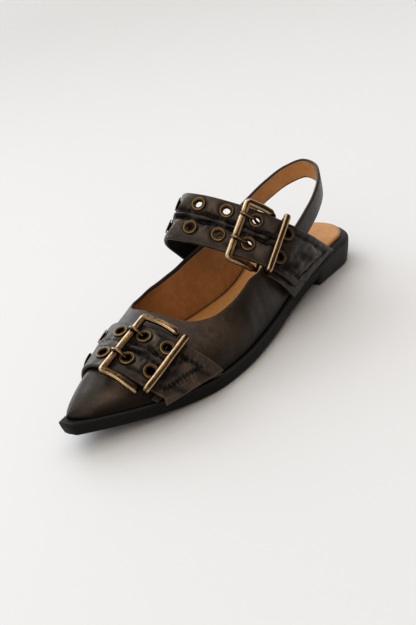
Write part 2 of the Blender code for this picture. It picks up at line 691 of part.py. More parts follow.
def tube(name, path, radius, sides, closed, reference):
    """Round sweep along a path, its section turned by a fixed reference direction."""
    if closed:
        heading = unit(np.roll(path, -1, 0) - np.roll(path, 1, 0))
    else:
        heading = unit(np.gradient(path, axis=0))
    side = unit(np.cross(heading, reference))
    up = np.cross(side, heading)
    turn = (np.arange(sides) + 0.5) * 2 * math.pi / sides
    ring = np.cos(turn)[None, :, None] * side[:, None] + np.sin(turn)[None, :, None] * up[:, None]
    radius = np.broadcast_to(radius, (len(path),))
    points = path[:, None] + ring * radius[:, None, None]
    if closed:
        points = np.concatenate([points, points[:1]])
        faces = grid_faces(len(points), sides, wrap=True)
    else:
        faces = grid_faces(len(points), sides, wrap=True)
        faces.append(tuple(range(sides)))
        faces.append(tuple(range((len(points) - 1) * sides, len(points) * sides)))
    return solid(name, points.reshape(-1, 3), faces, COLOURS["brass"], 1.0, 0.4)


def rounded(corners, radius, steps=4):
    """Closed path through corners with each corner turned on a curve."""
    corners = np.array(corners, float)
    path = []
    for k, corner in enumerate(corners):
        before, after = corners[k - 1] - corner, corners[(k + 1) % len(corners)] - corner
        reach = min(radius, 0.45 * np.linalg.norm(before), 0.45 * np.linalg.norm(after))
        a, b = corner + unit(before) * reach, corner + unit(after) * reach
        for t in np.linspace(0, 1, steps):
            path.append((1 - t) ** 2 * a + 2 * t * (1 - t) * corner + t * t * b)
    return np.array(path)


def build_buckle(name, band, spots, row):
    """Frame, keeper loop and two prongs of one strap."""
    bar, heel, prong = (spots[k] * MM for k in ("bar", "heel_bar", "prong"))
    outer, inner = spots["keeper"] * MM, spots["keeper_near"] * MM
    near, far = ((spots["middle"] + side * spots["half"]) * MM for side in (-1, 1))
    over = BAR_RADIUS + 0.35 * MM
    under = -STRAP_THICK - UNDER_GAP - HEEL_BAR_RADIUS
    mid = bar + 0.55 * (heel - bar)
    corners = [(bar, near, over), (bar, far, over), (mid, far, 0.2 * over), (heel, far, under),
               (heel, near, under), (mid, near, 0.2 * over)]
    path = rounded(corners, 3.4 * MM)
    on_bar = 1 - fade(path[:, 0] - bar, (0.3 * MM, 4 * MM))
    points = band.at(path[:, 0], path[:, 1], path[:, 2])
    facing = band.frame(mid, 0.0)[3]
    low = 1 - fade(path[:, 2], (under + 0.3 * MM, under + 3 * MM))
    size = ROD_RADIUS + (BAR_RADIUS - ROD_RADIUS) * on_bar + (HEEL_BAR_RADIUS - ROD_RADIUS) * low
    tube(name + "_buckle_frame", points, size, 8, True, facing)
    top, low = KEEPER_RADIUS + KEEPER_OVER, -STRAP_THICK - UNDER_GAP - KEEPER_BACK
    near, far = ((0.6 * spots["middle"] + side * spots["keeper_half"]) * MM for side in (-1, 1))
    corners = [(inner, near, top), (outer, far, top), (outer, far, low), (inner, near, low)]
    path = rounded(corners, 2.0 * MM)
    points = band.at(path[:, 0], path[:, 1], path[:, 2])
    size = KEEPER_BACK + (KEEPER_RADIUS - KEEPER_BACK) * fade(path[:, 2], (low + 0.5 * MM, top - 0.5 * MM))
    tube(name + "_keeper_loop", points, size, 8, True, band.frame(outer, 0.0)[1])
    rest = over + BAR_RADIUS + GAP + PRONG_RADIUS
    below = -STRAP_THICK - UNDER_GAP - PRONG_RADIUS
    for end, w in (("front", -row), ("rear", row)):
        spine = ((heel - HEEL_BAR_RADIUS - UNDER_GAP, below), (prong + 4.5 * MM, below),
                 (prong + 1.8 * MM, below * 0.75), (prong, -1.3 * MM), (prong - 1.7 * MM, 2.0 * MM),
                 (bar + 2.2 * MM, rest - 0.4 * MM), (bar, rest), (bar - 2.6 * MM, rest - 0.3 * MM))
        spine = np.array(spine)
        points = band.at(spine[:, 0], np.full(len(spine), w), spine[:, 1])
        size = PRONG_RADIUS * np.array([0.85, 1, 1, 1, 1, 1, 1, 0.6])
        tube(f"{name}_prong_{end}", points, size, 6, False, band.frame(prong, w)[2])


def build_slingback():
    path = through(SLING_PATH, ("x", "u", "z"), 4)
    centre = place(path["x"] * MM, path["u"] * MM, path["z"] * MM)
    heading = unit(np.gradient(centre, axis=0))
    out = unit(np.cross(heading, np.array([0, 0, 1.0])))
    out = np.where(np.sum(out * (centre - centre.mean(0)), -1, keepdims=True) < 0, -out, out)
    high = unit(np.cross(out, heading))
    high = np.where(high[:, 2:] < 0, -high, high)
    half, thick = SLING_WIDTH / 2, SLING_THICK
    ring = ((-1, 0.3), (-0.82, 0.0), (0, 0.0), (0.82, 0.0), (1, 0.3), (1, 0.75), (0.82, 1.0),
            (-0.82, 1.0), (-1, 0.75))
    points = np.stack([centre + high * half * a - out * thick * b for a, b in ring], 1)
    faces = grid_faces(len(points), len(ring), wrap=True)
    faces.append(tuple(range(len(ring))))
    faces.append(tuple(range((len(points) - 1) * len(ring), len(points) * len(ring))))
    return solid("slingback_strap", points.reshape(-1, 3), faces, COLOURS["strap"], rough=0.5)


def build():
    for obj in list(bpy.data.objects):
        bpy.data.objects.remove(obj, do_unlink=True)
    build_sole()
    build_insole()
    build_upper()
    toe, instep = toe_band(), instep_band()
    build_strap("toe_strap", toe, TOE_EYELETS, 4, 4)
    build_strap("instep_strap", instep, INSTEP_EYELETS, 6, 4)
    build_tab("toe_strap_base", toe, TOE_TAB)
    build_tab("instep_strap_base", instep, INSTEP_TAB)
    for name, band, spots in (("toe", toe, TOE_EYELETS), ("instep", instep, INSTEP_EYELETS)):
        for k, s in enumerate(spots["along"]):
            build_eyelet(f"{name}_eyelet_front_{k + 1}", band, s * MM, -spots["row"] * MM)
            build_eyelet(f"{name}_eyelet_rear_{k + 1}", band, s * MM, spots["row"] * MM)
    build_buckle("toe", toe, TOE_BUCKLE, TOE_EYELETS["row"] * MM)
    build_buckle("instep", instep, INSTEP_BUCKLE, INSTEP_EYELETS["row"] * MM)
    build_slingback()
    pieces = list(bpy.context.scene.collection.objects)
    corners = np.array([v.co[:] for o in pieces for v in o.data.vertices])
    low, high = corners.min(0), corners.max(0)
    shift = np.array([-(low[0] + high[0]) / 2, -(low[1] + high[1]) / 2, -low[2]])
    for obj in pieces:
        for v in obj.data.vertices:
            v.co = np.array(v.co[:]) + shift


build()
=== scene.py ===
"""Looks of the left pointed-toe slingback flat: leather, lining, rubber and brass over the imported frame.
Metres, +Z up, toe to -Y, outer side to +X. Stations run from the heel back, in millimetres in tables."""
import math

import bmesh
import bpy
import numpy as np
from mathutils import Matrix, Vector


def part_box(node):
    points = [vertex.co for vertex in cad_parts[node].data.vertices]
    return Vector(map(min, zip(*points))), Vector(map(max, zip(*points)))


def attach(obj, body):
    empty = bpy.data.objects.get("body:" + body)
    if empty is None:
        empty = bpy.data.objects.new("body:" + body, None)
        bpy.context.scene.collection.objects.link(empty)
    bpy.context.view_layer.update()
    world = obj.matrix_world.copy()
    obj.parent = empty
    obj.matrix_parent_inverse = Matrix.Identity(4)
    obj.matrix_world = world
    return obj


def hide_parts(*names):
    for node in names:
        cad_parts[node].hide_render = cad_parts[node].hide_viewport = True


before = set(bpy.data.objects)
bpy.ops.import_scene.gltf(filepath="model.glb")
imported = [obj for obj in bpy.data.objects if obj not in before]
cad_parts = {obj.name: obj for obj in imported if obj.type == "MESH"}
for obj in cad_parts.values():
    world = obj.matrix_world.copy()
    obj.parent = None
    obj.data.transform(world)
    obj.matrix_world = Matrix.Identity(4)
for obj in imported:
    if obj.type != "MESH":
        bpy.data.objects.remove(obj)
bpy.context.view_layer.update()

MM = 0.001
GAP = 0.3 * MM
JOIN_WITHIN = 4e-7

# Sole and last, as in the solids
SOLE_LENGTH = 270 * MM
HEEL_ROUND = 27 * MM
HEEL_HEIGHT = 17.4 * MM
HEEL_FLAT = 30 * MM
HEEL_BREAST = 58 * MM
BREAST_RUN = 1.5 * MM
BALL_LINE = 168 * MM
FOREFOOT_THICK = 9.4 * MM
WAIST_LIFT = 5.5 * MM
WAIST_POWER = 1.3
SPRING_START = 190 * MM
TOE_SPRING = 10.3 * MM
SPRING_POWER = 1.6
HEEL_TAPER = 3.5 * MM
SIDE_TAPER = 1.5 * MM
RIM_HEIGHT = 2.0 * MM
RIM_FADE = (70 * MM, 110 * MM)
INSOLE_THICK = 1.8 * MM
INSOLE_INSET_HEEL = 4.6 * MM
INSOLE_INSET_TOE = 5.4 * MM
INSOLE_END = 250 * MM
FEATHER_INSET = 2.5 * MM
TOE_INSET = 1.4 * MM
TOE_INSET_FADE = (205 * MM, 240 * MM)
WALL = 1.8 * MM
UPPER_TIP = 266 * MM
NOSE = 9 * MM
TIP_SHRINK = 1.6

# Straps and hardware, as in the solids
TOE_WIDTH = {"front": 19.5, "rear": 18.5}
INSTEP_WIDTH = {"front": 17.9, "rear": 15.3}
STRAP_THICK = 2.6 * MM
TAB_THICK = 1.4 * MM
TOE_BASE_SHOWS = 1.0 * MM
HOLE_CELL = 6.0 * MM
HOLE_RADIUS = 3.5 * MM
TOE_DROP = 8.0 * MM
TOE_SPAN = 0.97
SLING_WIDTH = 13.5 * MM
SLING_THICK = 2.2 * MM
BAR_RADIUS = 2.0 * MM
KEEPER_RADIUS = 1.7 * MM
KEEPER_OVER = 1.7 * MM
KEEPER_BACK = 0.9 * MM
HEEL_BAR_RADIUS = 1.0 * MM
PRONG_RADIUS = 0.95 * MM
UNDER_GAP = 0.4 * MM


def table(*names):
    """Turns rows of millimetres into named columns of metres."""
    def rows(*values):
        return {n: np.array([r[i] for r in values], float) * MM for i, n in enumerate(names)}
    return rows


# Widest line of the sole: x of its inner and of its outer side
OUTLINE = table("station", "medial", "lateral")(
    (0, -30.0, 30.0),
    (27, -30.0, 30.0),
    (60, -27.0, 30.0),
    (98, -22.0, 32.5),
    (132, -26.5, 38.6),
    (166, -36.0, 41.6),
    (192, -36.5, 39.0),
    (214, -31.5, 31.0),
    (236, -24.5, 19.6),
    (254, -18.8, 8.0),
    (270, -12.8, -3.0),
)

# Sole's profile from the tread up, in millimetres: inset, share of the taper, height as a share from bottom
# to top, rise, and share of the rim's height.
SOLE_RINGS = (
    (1.5, 1.0, 0.0, 0.0, 0.0),
    (0.25, 1.0, 0.0, 0.8, 0.0),
    (0.0, 0.9, 0.1, 0.6, 0.0),
    (0.0, 0.35, 0.55, 0.0, 0.0),
    (0.0, 0.0, 1.0, -0.9, 0.0),
    (0.7, 0.0, 1.0, -0.15, 0.15),
    (2.0, 0.0, 1.0, 0.0, 0.7),
    (4.2, 0.0, 1.0, 0.0, 1.0),
)

# Last by station: x and height of its crest, and how far its inner and its outer side bulge
LAST = table("station", "crest_x", "crest_z", "medial_bulge", "lateral_bulge")(
    (60, -2.0, 96.0, 9.0, -2.5),
    (100, -5.0, 80.0, 9.0, -2.5),
    (125, -8.0, 66.0, 7.5, 0.0),
    (148, -11.0, 56.0, 4.0, 1.0),
    (168, -13.0, 49.5, 2.0, 0.5),
    (185, -14.0, 45.0, 1.5, 0.0),
    (202, -14.0, 40.0, 0.8, 0.0),
    (220, -14.0, 35.8, 0.0, 0.0),
    (240, -13.0, 31.2, 0.0, 0.0),
    (252, -11.5, 27.6, 0.0, 0.0),
    (259, -10.0, 24.8, 0.0, 0.0),
    (266, -8.9, 21.6, 0.0, 0.0),
)

# Fullness of the section, in thousandths: 2000 is an ellipse, more is boxier.
FULLNESS = table("station", "medial", "lateral")(
    (60, 2400, 2000),
    (110, 2400, 2050),
    (150, 2500, 2150),
    (185, 2600, 1880),
    (220, 2350, 1730),
    (265, 2000, 2000),
)

# Columns of the wall up to the throat: where each leaves the sole, where it ends and how far up the quarter
TOPLINE = {
    "lateral": (
        (80, 111, 0.315), (91, 121, 0.345), (100, 126, 0.365), (110, 131.5, 0.384), (122, 140, 0.392),
        (134, 149, 0.403), (146, 158, 0.421), (157, 168, 0.453), (166, 175.5, 0.505), (173.5, 181, 0.580),
        (179, 184.3, 0.690), (183, 185.5, 0.830), (185.5, 185.8, 1.0),
    ),
    "medial": (
        (64, 86, 0.262), (76, 97, 0.308), (87, 108, 0.347), (98, 122, 0.392), (110, 135, 0.432),
        (122, 147, 0.485), (134, 158, 0.545), (146, 168, 0.605), (157, 175, 0.660), (166, 180, 0.715),
        (173.5, 183, 0.775), (179, 184.8, 0.840), (183, 185.6, 0.920), (185.5, 185.8, 1.0),
    ),
}

# Toe strap along the section: minus one is the medial feather edge, nought the crest, one the lateral edge.
TOE_PATH = table("station", "centre", "lift", "spread")(
    (-1000, 213.0, 3.0, 1000),
    (-750, 216.0, 1.0, 1000),
    (-450, 217.0, 0.6, 1000),
    (0, 216.8, 0.8, 1000),
    (200, 216.3, 1.8, 1000),
    (400, 215.6, 2.8, 1000),
    (620, 214.4, 2.9, 1010),
    (800, 211.2, 2.7, 1040),
    (1000, 207.2, 3.0, 1060),
)

# Lengths along the strap and distances across it: its ends, eyelet pairs, buckle and base layer
TOE_END = {"medial": 2.0, "front": 56.0, "rear": 70.0}
TOE_EYELETS = {"along": (-14.4, 2.4, 19.2, 35.4), "row": 9.1}
TOE_BUCKLE = {"bar": 12.2, "heel_bar": 34.6, "keeper": 41.2, "keeper_near": 39.0, "prong": 19.2,
              "middle": -1.0, "half": 22.7, "keeper_half": 20.9}
TOE_TAB = {"top": 45.0, "front": -23.0, "rear": 17.0}

# Instep strap: centre points of its outer face from the inner foot to the outer one as x, station and
# height, with the inward turn of the width line's rear end in degrees and a share of the width.
INSTEP_PATH = (
    (-29.0, 55.6, -1.0, 1, 1.25),
    (-32.5, 70.6, 17.5, 2, 1.15),
    (-36.0, 85.6, 36.0, 3, 1.05),
    (-37.8, 100.6, 54.5, 4, 1.0),
    (-36.8, 112.6, 69.5, 4, 1.0),
    (-30.0, 118.0, 76.1, 3, 1.0),
    (-15.6, 117.7, 75.5, 0, 1.0),
    (1.2, 112.5, 69.2, 0, 1.0),
    (18.0, 106.1, 60.7, -3, 1.0),
    (33.8, 97.3, 48.2, -6, 1.03),
    (37.0, 83.3, 33.1, -4, 1.12),
    (35.6, 68.0, 17.8, -2, 1.2),
)
PATH_STEPS = 20

# Rise of the width line towards the heel, and the row of the path from which lengths along the strap count
INSTEP_LEAN = math.radians(38)
INSTEP_ZERO = 7

# Level at which each leg is cut, as station and height at its rear and at its front, and how far the base
# shows below the strap at its front and at its rear edge
INSTEP_CUT = {"inner": ((43, 17.9), (100, 13.8)), "outer": ((43, 21.0), (100, 20.0))}
INSTEP_BASE_SHOWS = (9.2, 4.9)

# Heights between which the legs are drawn in, how far the inner leg's back then lies inside the sole's
# edge, and how far the outer leg moves
INSTEP_TUCK = (17 * MM, 32.5 * MM)
TUCK_INSIDE = 1.2 * MM
OUTER_TUCK = 1.3 * MM

# Eyelet pairs, buckle and base layer as for the toe strap
INSTEP_EYELETS = {"along": (-37.5, -18.3, 0.2, 19.6, 40.6), "row": 8.2}
INSTEP_BUCKLE = {"bar": 11.0, "heel_bar": 29.8, "keeper": 36.4, "keeper_near": 36.7, "prong": 19.6,
                 "middle": -2.0, "half": 19.6, "keeper_half": 18.8}
INSTEP_TAB = {"top": 38.0, "front": -21.5, "rear": 14.0}

# Slingback: centre points of its outer face from the inner end to the outer end
SLING_PATH = (
    (-32.3, 84.0, 39.5), (-31.3, 72.0, 43.2), (-27.6, 52.0, 49.8), (-22.0, 32.0, 56.6), (-13.4, 16.5, 62.0),
    (-2.4, 9.5, 64.6), (9.4, 13.0, 63.6), (20.0, 25.5, 60.2), (27.4, 45.0, 55.0), (30.0, 65.0, 49.0),
    (29.9, 80.0, 43.2),
)

# Turned profile of an eyelet: radius and height over the strap's full face.
EYELET_PROFILE = (
    (2.32, -1.7), (2.7, -1.7), (2.7, 0.15), (2.9, 0.28), (4.45, 0.28), (4.66, 0.36), (4.72, 0.52),
    (4.62, 0.74), (4.3, 0.96), (3.9, 1.05), (3.58, 1.0), (3.38, 0.86), (3.26, 0.9), (3.1, 1.08),
    (2.88, 1.1), (2.64, 0.9), (2.42, 0.5), (2.34, 0.1),
)

# Rubbing and painted light of an eyelet by radius in millimetres: painted shade in the bore, bare lip, dark
# groove, bare rim with painted highlight, painted shade at the foot
EYELET_RADIUS = (2.4, 2.7, 3.0, 3.2, 3.4, 3.65, 4.0, 4.35, 4.7)
EYELET_LIGHT_AND_WEAR = (-0.9, -0.2, 0.35, -0.5, -0.8, 0.3, 0.9, 0.3, -0.7)

# Soft creases of the upper in millimetres: station, arc from the crest (minus is medial), heading in
# degrees from the toe line, half length, half width and depth (minus is a ridge).
UPPER_CREASES = (
    (194, 14, 82, 16, 3.0, 0.35),
    (189, 20, 72, 15, 2.6, -0.25),
    (178, 34, 64, 15, 3.2, 0.40),
    (168, 42, 58, 14, 3.4, -0.30),
    (150, 46, 76, 13, 3.6, 0.40),
    (133, 44, 80, 12, 3.4, -0.35),
    (121, 42, 84, 12, 3.2, 0.45),
    (192, -14, 96, 14, 3.0, 0.30),
    (180, -26, 108, 14, 3.2, 0.35),
    (160, -40, 100, 12, 3.6, 0.40),
    (246, 4, 20, 14, 4.0, -0.20),
)

# Paler patches painted on the upper as its sheen: station, arc, half length, half width and strength
PAINTED_SHEEN = (
    (190, 30, 24, 13, 0.80),
    (168, 37, 14, 10, 0.35),
    (247, 29, 11, 9, 1.10),
    (234, 26, 12, 8, 0.45),
    (114, 45, 12, 7, 0.45),
    (205, -24, 26, 12, 0.25),
)

# Soft creases of the straps in millimetres: along, across, heading in degrees from the strap's run, half
# length, half width and depth.
TOE_CREASES = (
    (24, -1.5, 14, 6, 1.5, 0.55),
    (29, 3.4, -22, 5, 1.3, 0.45),
    (15.5, -3.2, 30, 4, 1.2, 0.40),
    (27, -13.5, 6, 7, 1.6, 0.40),
    (30, 14.0, -8, 6, 1.5, 0.35),
    (10, 2.8, -12, 6, 1.3, 0.20),
    (-6, 0.8, 4, 7, 1.4, 0.20),
    (46, -4.0, 70, 7, 1.8, 0.45),
    (47, 8.0, 76, 6, 1.7, 0.40),
    (54, -9.0, 20, 7, 2.2, 0.45),
    (57, 2.0, -12, 7, 2.2, -0.40),
    (60, 9.0, 16, 6, 2.0, 0.40),
)
INSTEP_CREASES = (
    (-28, -1.6, 6, 8, 1.5, 0.55),
    (-28, 3.2, -10, 6, 1.2, 0.40),
    (-10, -2.6, 10, 7, 1.4, 0.50),
    (-9, 2.4, -8, 6, 1.3, 0.45),
    (8, 1.6, 8, 6, 1.3, 0.50),
    (8, -2.8, -14, 5, 1.2, 0.40),
    (26, 2.4, 12, 6, 1.4, 0.55),
    (27, -3.0, -10, 6, 1.3, 0.45),
    (12, -12.5, 4, 8, 1.6, 0.35),
    (32, 0.5, 40, 5, 1.4, 0.40),
    (-48, 4.0, 76, 8, 2.0, 0.40),
    (-56, -4.0, 84, 9, 2.2, 0.45),
    (50, -10.0, 30, 7, 2.0, 0.40),
    (60, 0.0, 8, 9, 2.4, 0.40),
    (64, 8.0, -14, 8, 2.2, -0.35),
)

# Padding of the straps in millimetres: sewn rows beside the middle with their puckers, the gathers beside
# them, the roll between them and the bands outside them, the sewn base, and the hollows under the bars
SEAM_ROW = 2.6
PUCKER_PITCH = 4.6
PUCKER_WIDTH = 1.05
PUCKER_DEPTH = 1.05
PUCKER_PULL = 0.55
GATHER_HEIGHT = 0.62
GATHER_AWAY = 2.2
GATHER_WIDTH = 2.0
ROLL_HEIGHT = 0.5
BAND_HEIGHT = 0.85
BASE_HEIGHT = 1.3
BASE_SLOPE = 5.0
RAG_PITCH = 3.3
CREASE_GAIN = 2.1
BAR_HOLLOW = 3.6
KEEPER_HOLLOW = 2.8
EYELET_SEAT = (1.3 * MM, 3.4 * MM)
EDGE_FALL = (0.2 * MM, 3.2 * MM)

# For each strap its half width, bars, share of the quilting on the inner part, and its sewn base: front
# line, rear line and distance from the outer end, how ragged and wide its seam is, and how much lighter
# (above nought) or darker its base is painted as light and shade
TOE_SHAPE = {"half": 18.5, "bar": 12.2, "keeper": 40.0, "inner": 0.22, "creases": TOE_CREASES,
             "box": (-13.5, 10.5, 10.4), "rag": 0.95, "tear": 1.25, "painted_base_light": 0.6}
INSTEP_SHAPE = {"half": 16.0, "bar": 11.0, "keeper": 36.5, "inner": 1.0, "creases": INSTEP_CREASES,
                "box": (-12.5, 10.5, 7.0), "rag": 0.15, "tear": 0.8, "painted_base_light": -0.35}


def smooth(rows, column, station):
    """Cubic curve through a table's column, its slopes taken from the neighbouring rows."""
    x, y = rows["station"], rows[column]
    slope = np.gradient(y, x)
    u = np.clip(np.asarray(station, float), x[0], x[-1])
    i = np.clip(np.searchsorted(x, u, side="right") - 1, 0, len(x) - 2)
    h = x[i + 1] - x[i]
    t = (u - x[i]) / h
    start = (2 * t**3 - 3 * t**2 + 1) * y[i] + (t**3 - 2 * t**2 + t) * h * slope[i]
    return start + (3 * t**2 - 2 * t**3) * y[i + 1] + (t**3 - t**2) * h * slope[i + 1]


def fade(value, ends):
    """Soft step from nought to one between two ends."""
    t = np.clip((np.asarray(value, float) - ends[0]) / (ends[1] - ends[0]), 0, 1)
    return t * t * (3 - 2 * t)


def unit(v):
    """Vectors made one long."""
    return v / np.maximum(np.linalg.norm(v, axis=-1, keepdims=True), 1e-12)


def run_of(points):
    """Length along a line up to each of its points."""
    return np.concatenate([[0], np.cumsum(np.linalg.norm(np.diff(points, axis=0), axis=1))])


def sampled(points, run, at):
    """Points of a line at given lengths along it."""
    return np.stack([np.interp(at, run, points[:, k]) for k in range(3)], -1)


def bent(a, corner, b, t):
    """Curve from a to b round a corner."""
    return (1 - t) ** 2 * a + 2 * t * (1 - t) * corner + t * t * b


def circle(count):
    """Even angles of a full turn, and the points of a unit circle there."""
    turn = np.linspace(0, 2 * math.pi, count, endpoint=False)
    return turn, np.stack([np.cos(turn), np.sin(turn)], -1)


def edge(side, u):
    """x of the sole's widest line; its heel end is half an ellipse."""
    u = np.asarray(u, float)
    back = np.clip((HEEL_ROUND - u) / HEEL_ROUND, 0, 1)
    return smooth(OUTLINE, side, np.maximum(u, HEEL_ROUND)) * np.sqrt(1 - back**2)


# The solids are centred on their box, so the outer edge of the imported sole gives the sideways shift.
CAD_STATIONS = np.linspace(HEEL_BREAST, SOLE_LENGTH, 22)
SHIFT_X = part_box("unit_sole")[1].x - float(np.max(edge("lateral", CAD_STATIONS)))


def place(x, u, z):
    """Point from outward x, station from the heel back and height."""
    x, u, z = np.broadcast_arrays(x, u, z)
    return np.stack([x + SHIFT_X, SOLE_LENGTH / 2 - u, z], -1)


def spring(u):
    """Rise of the toe: a power of the way from the start of the spring to the tip."""
    return TOE_SPRING * np.clip((u - SPRING_START) / (SOLE_LENGTH - SPRING_START), 0, 1) ** SPRING_POWER


def rim(u):
    """Height of the raised rim round the heel, fading out at the waist."""
    return RIM_HEIGHT * (1 - fade(u, RIM_FADE))


def sole_top(u):
    """Height of the sole's upper edge: heel height falling by a power to the ball, plus toe spring."""
    fall = np.clip(1 - (u - HEEL_FLAT) / (BALL_LINE - HEEL_FLAT), 0, 1)
    return FOREFOOT_THICK + (HEEL_HEIGHT - FOREFOOT_THICK) * fall**WAIST_POWER + spring(u)


def sole_bottom(u):
    """Height of the tread: level heel, hollow waist falling by a power to the ball, toe spring."""
    fall = np.clip(1 - (u - HEEL_BREAST) / (BALL_LINE - HEEL_BREAST), 0, 1)
    waist = np.where(u < HEEL_BREAST, 0.0, WAIST_LIFT * fall**WAIST_POWER)
    return waist + spring(u)


def outline(us, inset):
    """Closed loop along the outer side to the toe and back along the inner side, moved square to itself."""
    u = np.concatenate([us, us[:0:-1]])
    x = np.concatenate([edge("lateral", us), edge("medial", us[:0:-1])])
    loop = np.stack([x, u], -1)
    before = unit(loop - np.roll(loop, 1, 0))
    after = unit(np.roll(loop, -1, 0) - loop)
    n1 = np.stack([-before[:, 1], before[:, 0]], -1)
    n2 = np.stack([-after[:, 1], after[:, 0]], -1)
    shift = (n1 + n2) / np.maximum(1 + np.sum(n1 * n2, -1, keepdims=True), 0.3)
    return loop + shift * np.broadcast_to(inset, u.shape)[:, None], u


def feather(u):
    """Distance of the feather edge from the sole's widest line, less at the toe."""
    return FEATHER_INSET + (TOE_INSET - FEATHER_INSET) * fade(u, TOE_INSET_FADE)


def section(side, u, phi, shrink=0.0):
    """Point of the last: a bulged quarter superellipse from the feather edge to the crest, made smaller for
    the inner face of the wall."""
    tip = UPPER_TIP - TIP_SHRINK * shrink
    nose = np.sqrt(1 - np.clip((u - (tip - NOSE)) / NOSE, 0, 1) ** 2)
    out = -1 if side == "medial" else 1
    crest_x, crest_z = smooth(LAST, "crest_x", u), smooth(LAST, "crest_z", u) - shrink
    foot_x = crest_x + (edge(side, u) - out * (feather(u) + shrink) - crest_x) * nose
    foot_z = sole_top(u) + rim(u) + GAP
    power = 2 / (2 + (smooth(FULLNESS, side, u) - 2) * nose)
    across = np.maximum(np.cos(phi), 0) ** power
    up = np.maximum(np.sin(phi), 0) ** power
    bulge = out * smooth(LAST, side + "_bulge", u) * np.sin(2 * phi)
    return place(crest_x + (foot_x - crest_x) * across + bulge, u, foot_z + (crest_z - foot_z) * up)


def grid_quads(rows, columns, start=0, wrap=False):
    """Corner numbers of a grid of points laid out row by row."""
    r, c = np.meshgrid(np.arange(rows - 1), np.arange(columns if wrap else columns - 1), indexing="ij")
    a = r * columns + c
    b = r * columns + (c + 1) % columns
    return np.stack([a, b, b + columns, a + columns], -1).reshape(-1, 4) + start


def linked(name, data):
    """New object in the scene."""
    obj = bpy.data.objects.new(name, data)
    bpy.context.scene.collection.objects.link(obj)
    return obj


def turned(obj, right, up, back, at):
    """Object set at a place with its own axes along three directions."""
    matrix = np.eye(4)
    matrix[:3] = np.stack([right, up, back, at], -1)
    obj.matrix_world = Matrix(matrix.tolist())


class Build:
    """Collects grids of points for one piece, each with a finish number, a flat map and a value of wear and
    painted light.
    """

    def __init__(self):
        self.points, self.quads, self.finish, self.flat, self.value, self.count = [], [], [], [], [], 0

    def grid(self, points, finish=0, wrap=False, flat=None, value=0.0):
        """Adds rows and columns of points."""
        rows, columns = points.shape[:2]
        self.net(points.reshape(-1, 3), grid_quads(rows, columns, 0, wrap), finish,
                 None if flat is None else np.asarray(flat).reshape(-1, 2),
                 np.broadcast_to(value, (rows, columns)).reshape(-1))

    def net(self, points, quads, finish=0, flat=None, value=0.0):
        """Adds points and the quads between them."""
        n = len(points)
        self.points.append(points)
        self.quads.append(quads + self.count)
        self.finish.append(np.broadcast_to(finish, (len(quads),)))
        self.flat.append(np.zeros((n, 2)) if flat is None else flat)
        self.value.append(np.broadcast_to(value, (n,)))
        self.count += n

    def piece(self, name, finishes, stands_for=()):
        """Mesh object: equal points are joined, a face that lost a corner is a triangle, faces turn out."""
        points, quads = np.concatenate(self.points), np.concatenate(self.quads)
        finish, flat, value = (np.concatenate(kept) for kept in (self.finish, self.flat, self.value))
        keys = np.round(points / JOIN_WITHIN).astype(np.int64)
        _, first, back = np.unique(keys, axis=0, return_index=True, return_inverse=True)
        corner = back.reshape(-1)[quads]
        same = corner == np.roll(corner, -1, 1)
        four, three = np.nonzero(same.sum(1) == 0)[0], np.nonzero(same.sum(1) == 1)[0]
        turn = (np.argmax(same[three], 1)[:, None] + 1 + np.arange(3)) % 4
        loops = np.concatenate([corner[four].ravel(), np.take_along_axis(corner[three], turn, 1).ravel()])
        source = np.concatenate([quads[four].ravel(), np.take_along_axis(quads[three], turn, 1).ravel()])
        starts = np.concatenate([np.arange(len(four)) * 4, 4 * len(four) + np.arange(len(three)) * 3])
        mesh = bpy.data.meshes.new(name)
        mesh.vertices.add(len(first))
        mesh.vertices.foreach_set("co", points[first].astype(np.float32).ravel())
        mesh.loops.add(len(loops))
        mesh.loops.foreach_set("vertex_index", loops.astype(np.int32))
        mesh.polygons.add(len(starts))
        mesh.polygons.foreach_set("loop_start", starts.astype(np.int32))
        mesh.polygons.foreach_set("material_index", finish[np.concatenate([four, three])].astype(np.int32))
        mesh.polygons.foreach_set("use_smooth", np.ones(len(starts), bool))
        mesh.update(calc_edges=True)
        layer = mesh.uv_layers.new(name="flat_map")
        layer.data.foreach_set("uv", flat[source].astype(np.float32).ravel())
        mark = mesh.attributes.new("wear_and_light", "FLOAT", "POINT")
        mark.data.foreach_set("value", value[first].astype(np.float32))
        mesh.validate()
        form = bmesh.new()
        form.from_mesh(mesh)
        bmesh.ops.recalc_face_normals(form, faces=form.faces)
        if form.calc_volume(signed=True) < 0:
            bmesh.ops.reverse_faces(form, faces=form.faces)
        form.to_mesh(mesh)
        form.free()
        obj = linked(name, mesh)
        for finish_material in finishes:
            mesh.materials.append(finish_material)
        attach(obj, "root")
        if stands_for:
            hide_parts(*stands_for)
        return obj


def creases(rows, a, b):
    """Height of soft troughs on a flat map in millimetres: each is a Gaussian across its line and fades out
    at its two ends."""
    total = np.zeros(np.broadcast(a, b).shape)
    for at_a, at_b, heading, half, width, depth in rows:
        c, s = math.cos(math.radians(heading)), math.sin(math.radians(heading))
        along = (a - at_a) * c + (b - at_b) * s
        across = (b - at_b) * c - (a - at_a) * s
        ends = 1 - fade(np.abs(along), (0.4 * half, 1.3 * half))
        total = total - depth * np.exp(-(across / width) ** 2) * ends
    return total


def lifted(points, height):
    """Grid of points moved square to itself by a height."""
    normal = unit(np.cross(np.gradient(points, axis=0), np.gradient(points, axis=1)))
    return points + normal * height[..., None]


# Finishes


def put(tree, socket, value):
    """Gives a socket a number, a vector or a colour, or links it to another node's output."""
    if isinstance(value, bpy.types.NodeSocket):
        tree.links.new(value, socket)
    elif socket.type == "RGBA":
        socket.default_value = (*value, 1)
    else:
        socket.default_value = value


def dress(tree, node, **values):
    """Gives a node's sockets their values; an underscore in a name stands for a blank."""
    for label, value in values.items():
        put(tree, node.inputs[label.replace("_", " ")], value)
    return node


def added(tree, kind, **values):
    """New shader node with its values."""
    return dress(tree, tree.nodes.new("ShaderNode" + kind), **values)


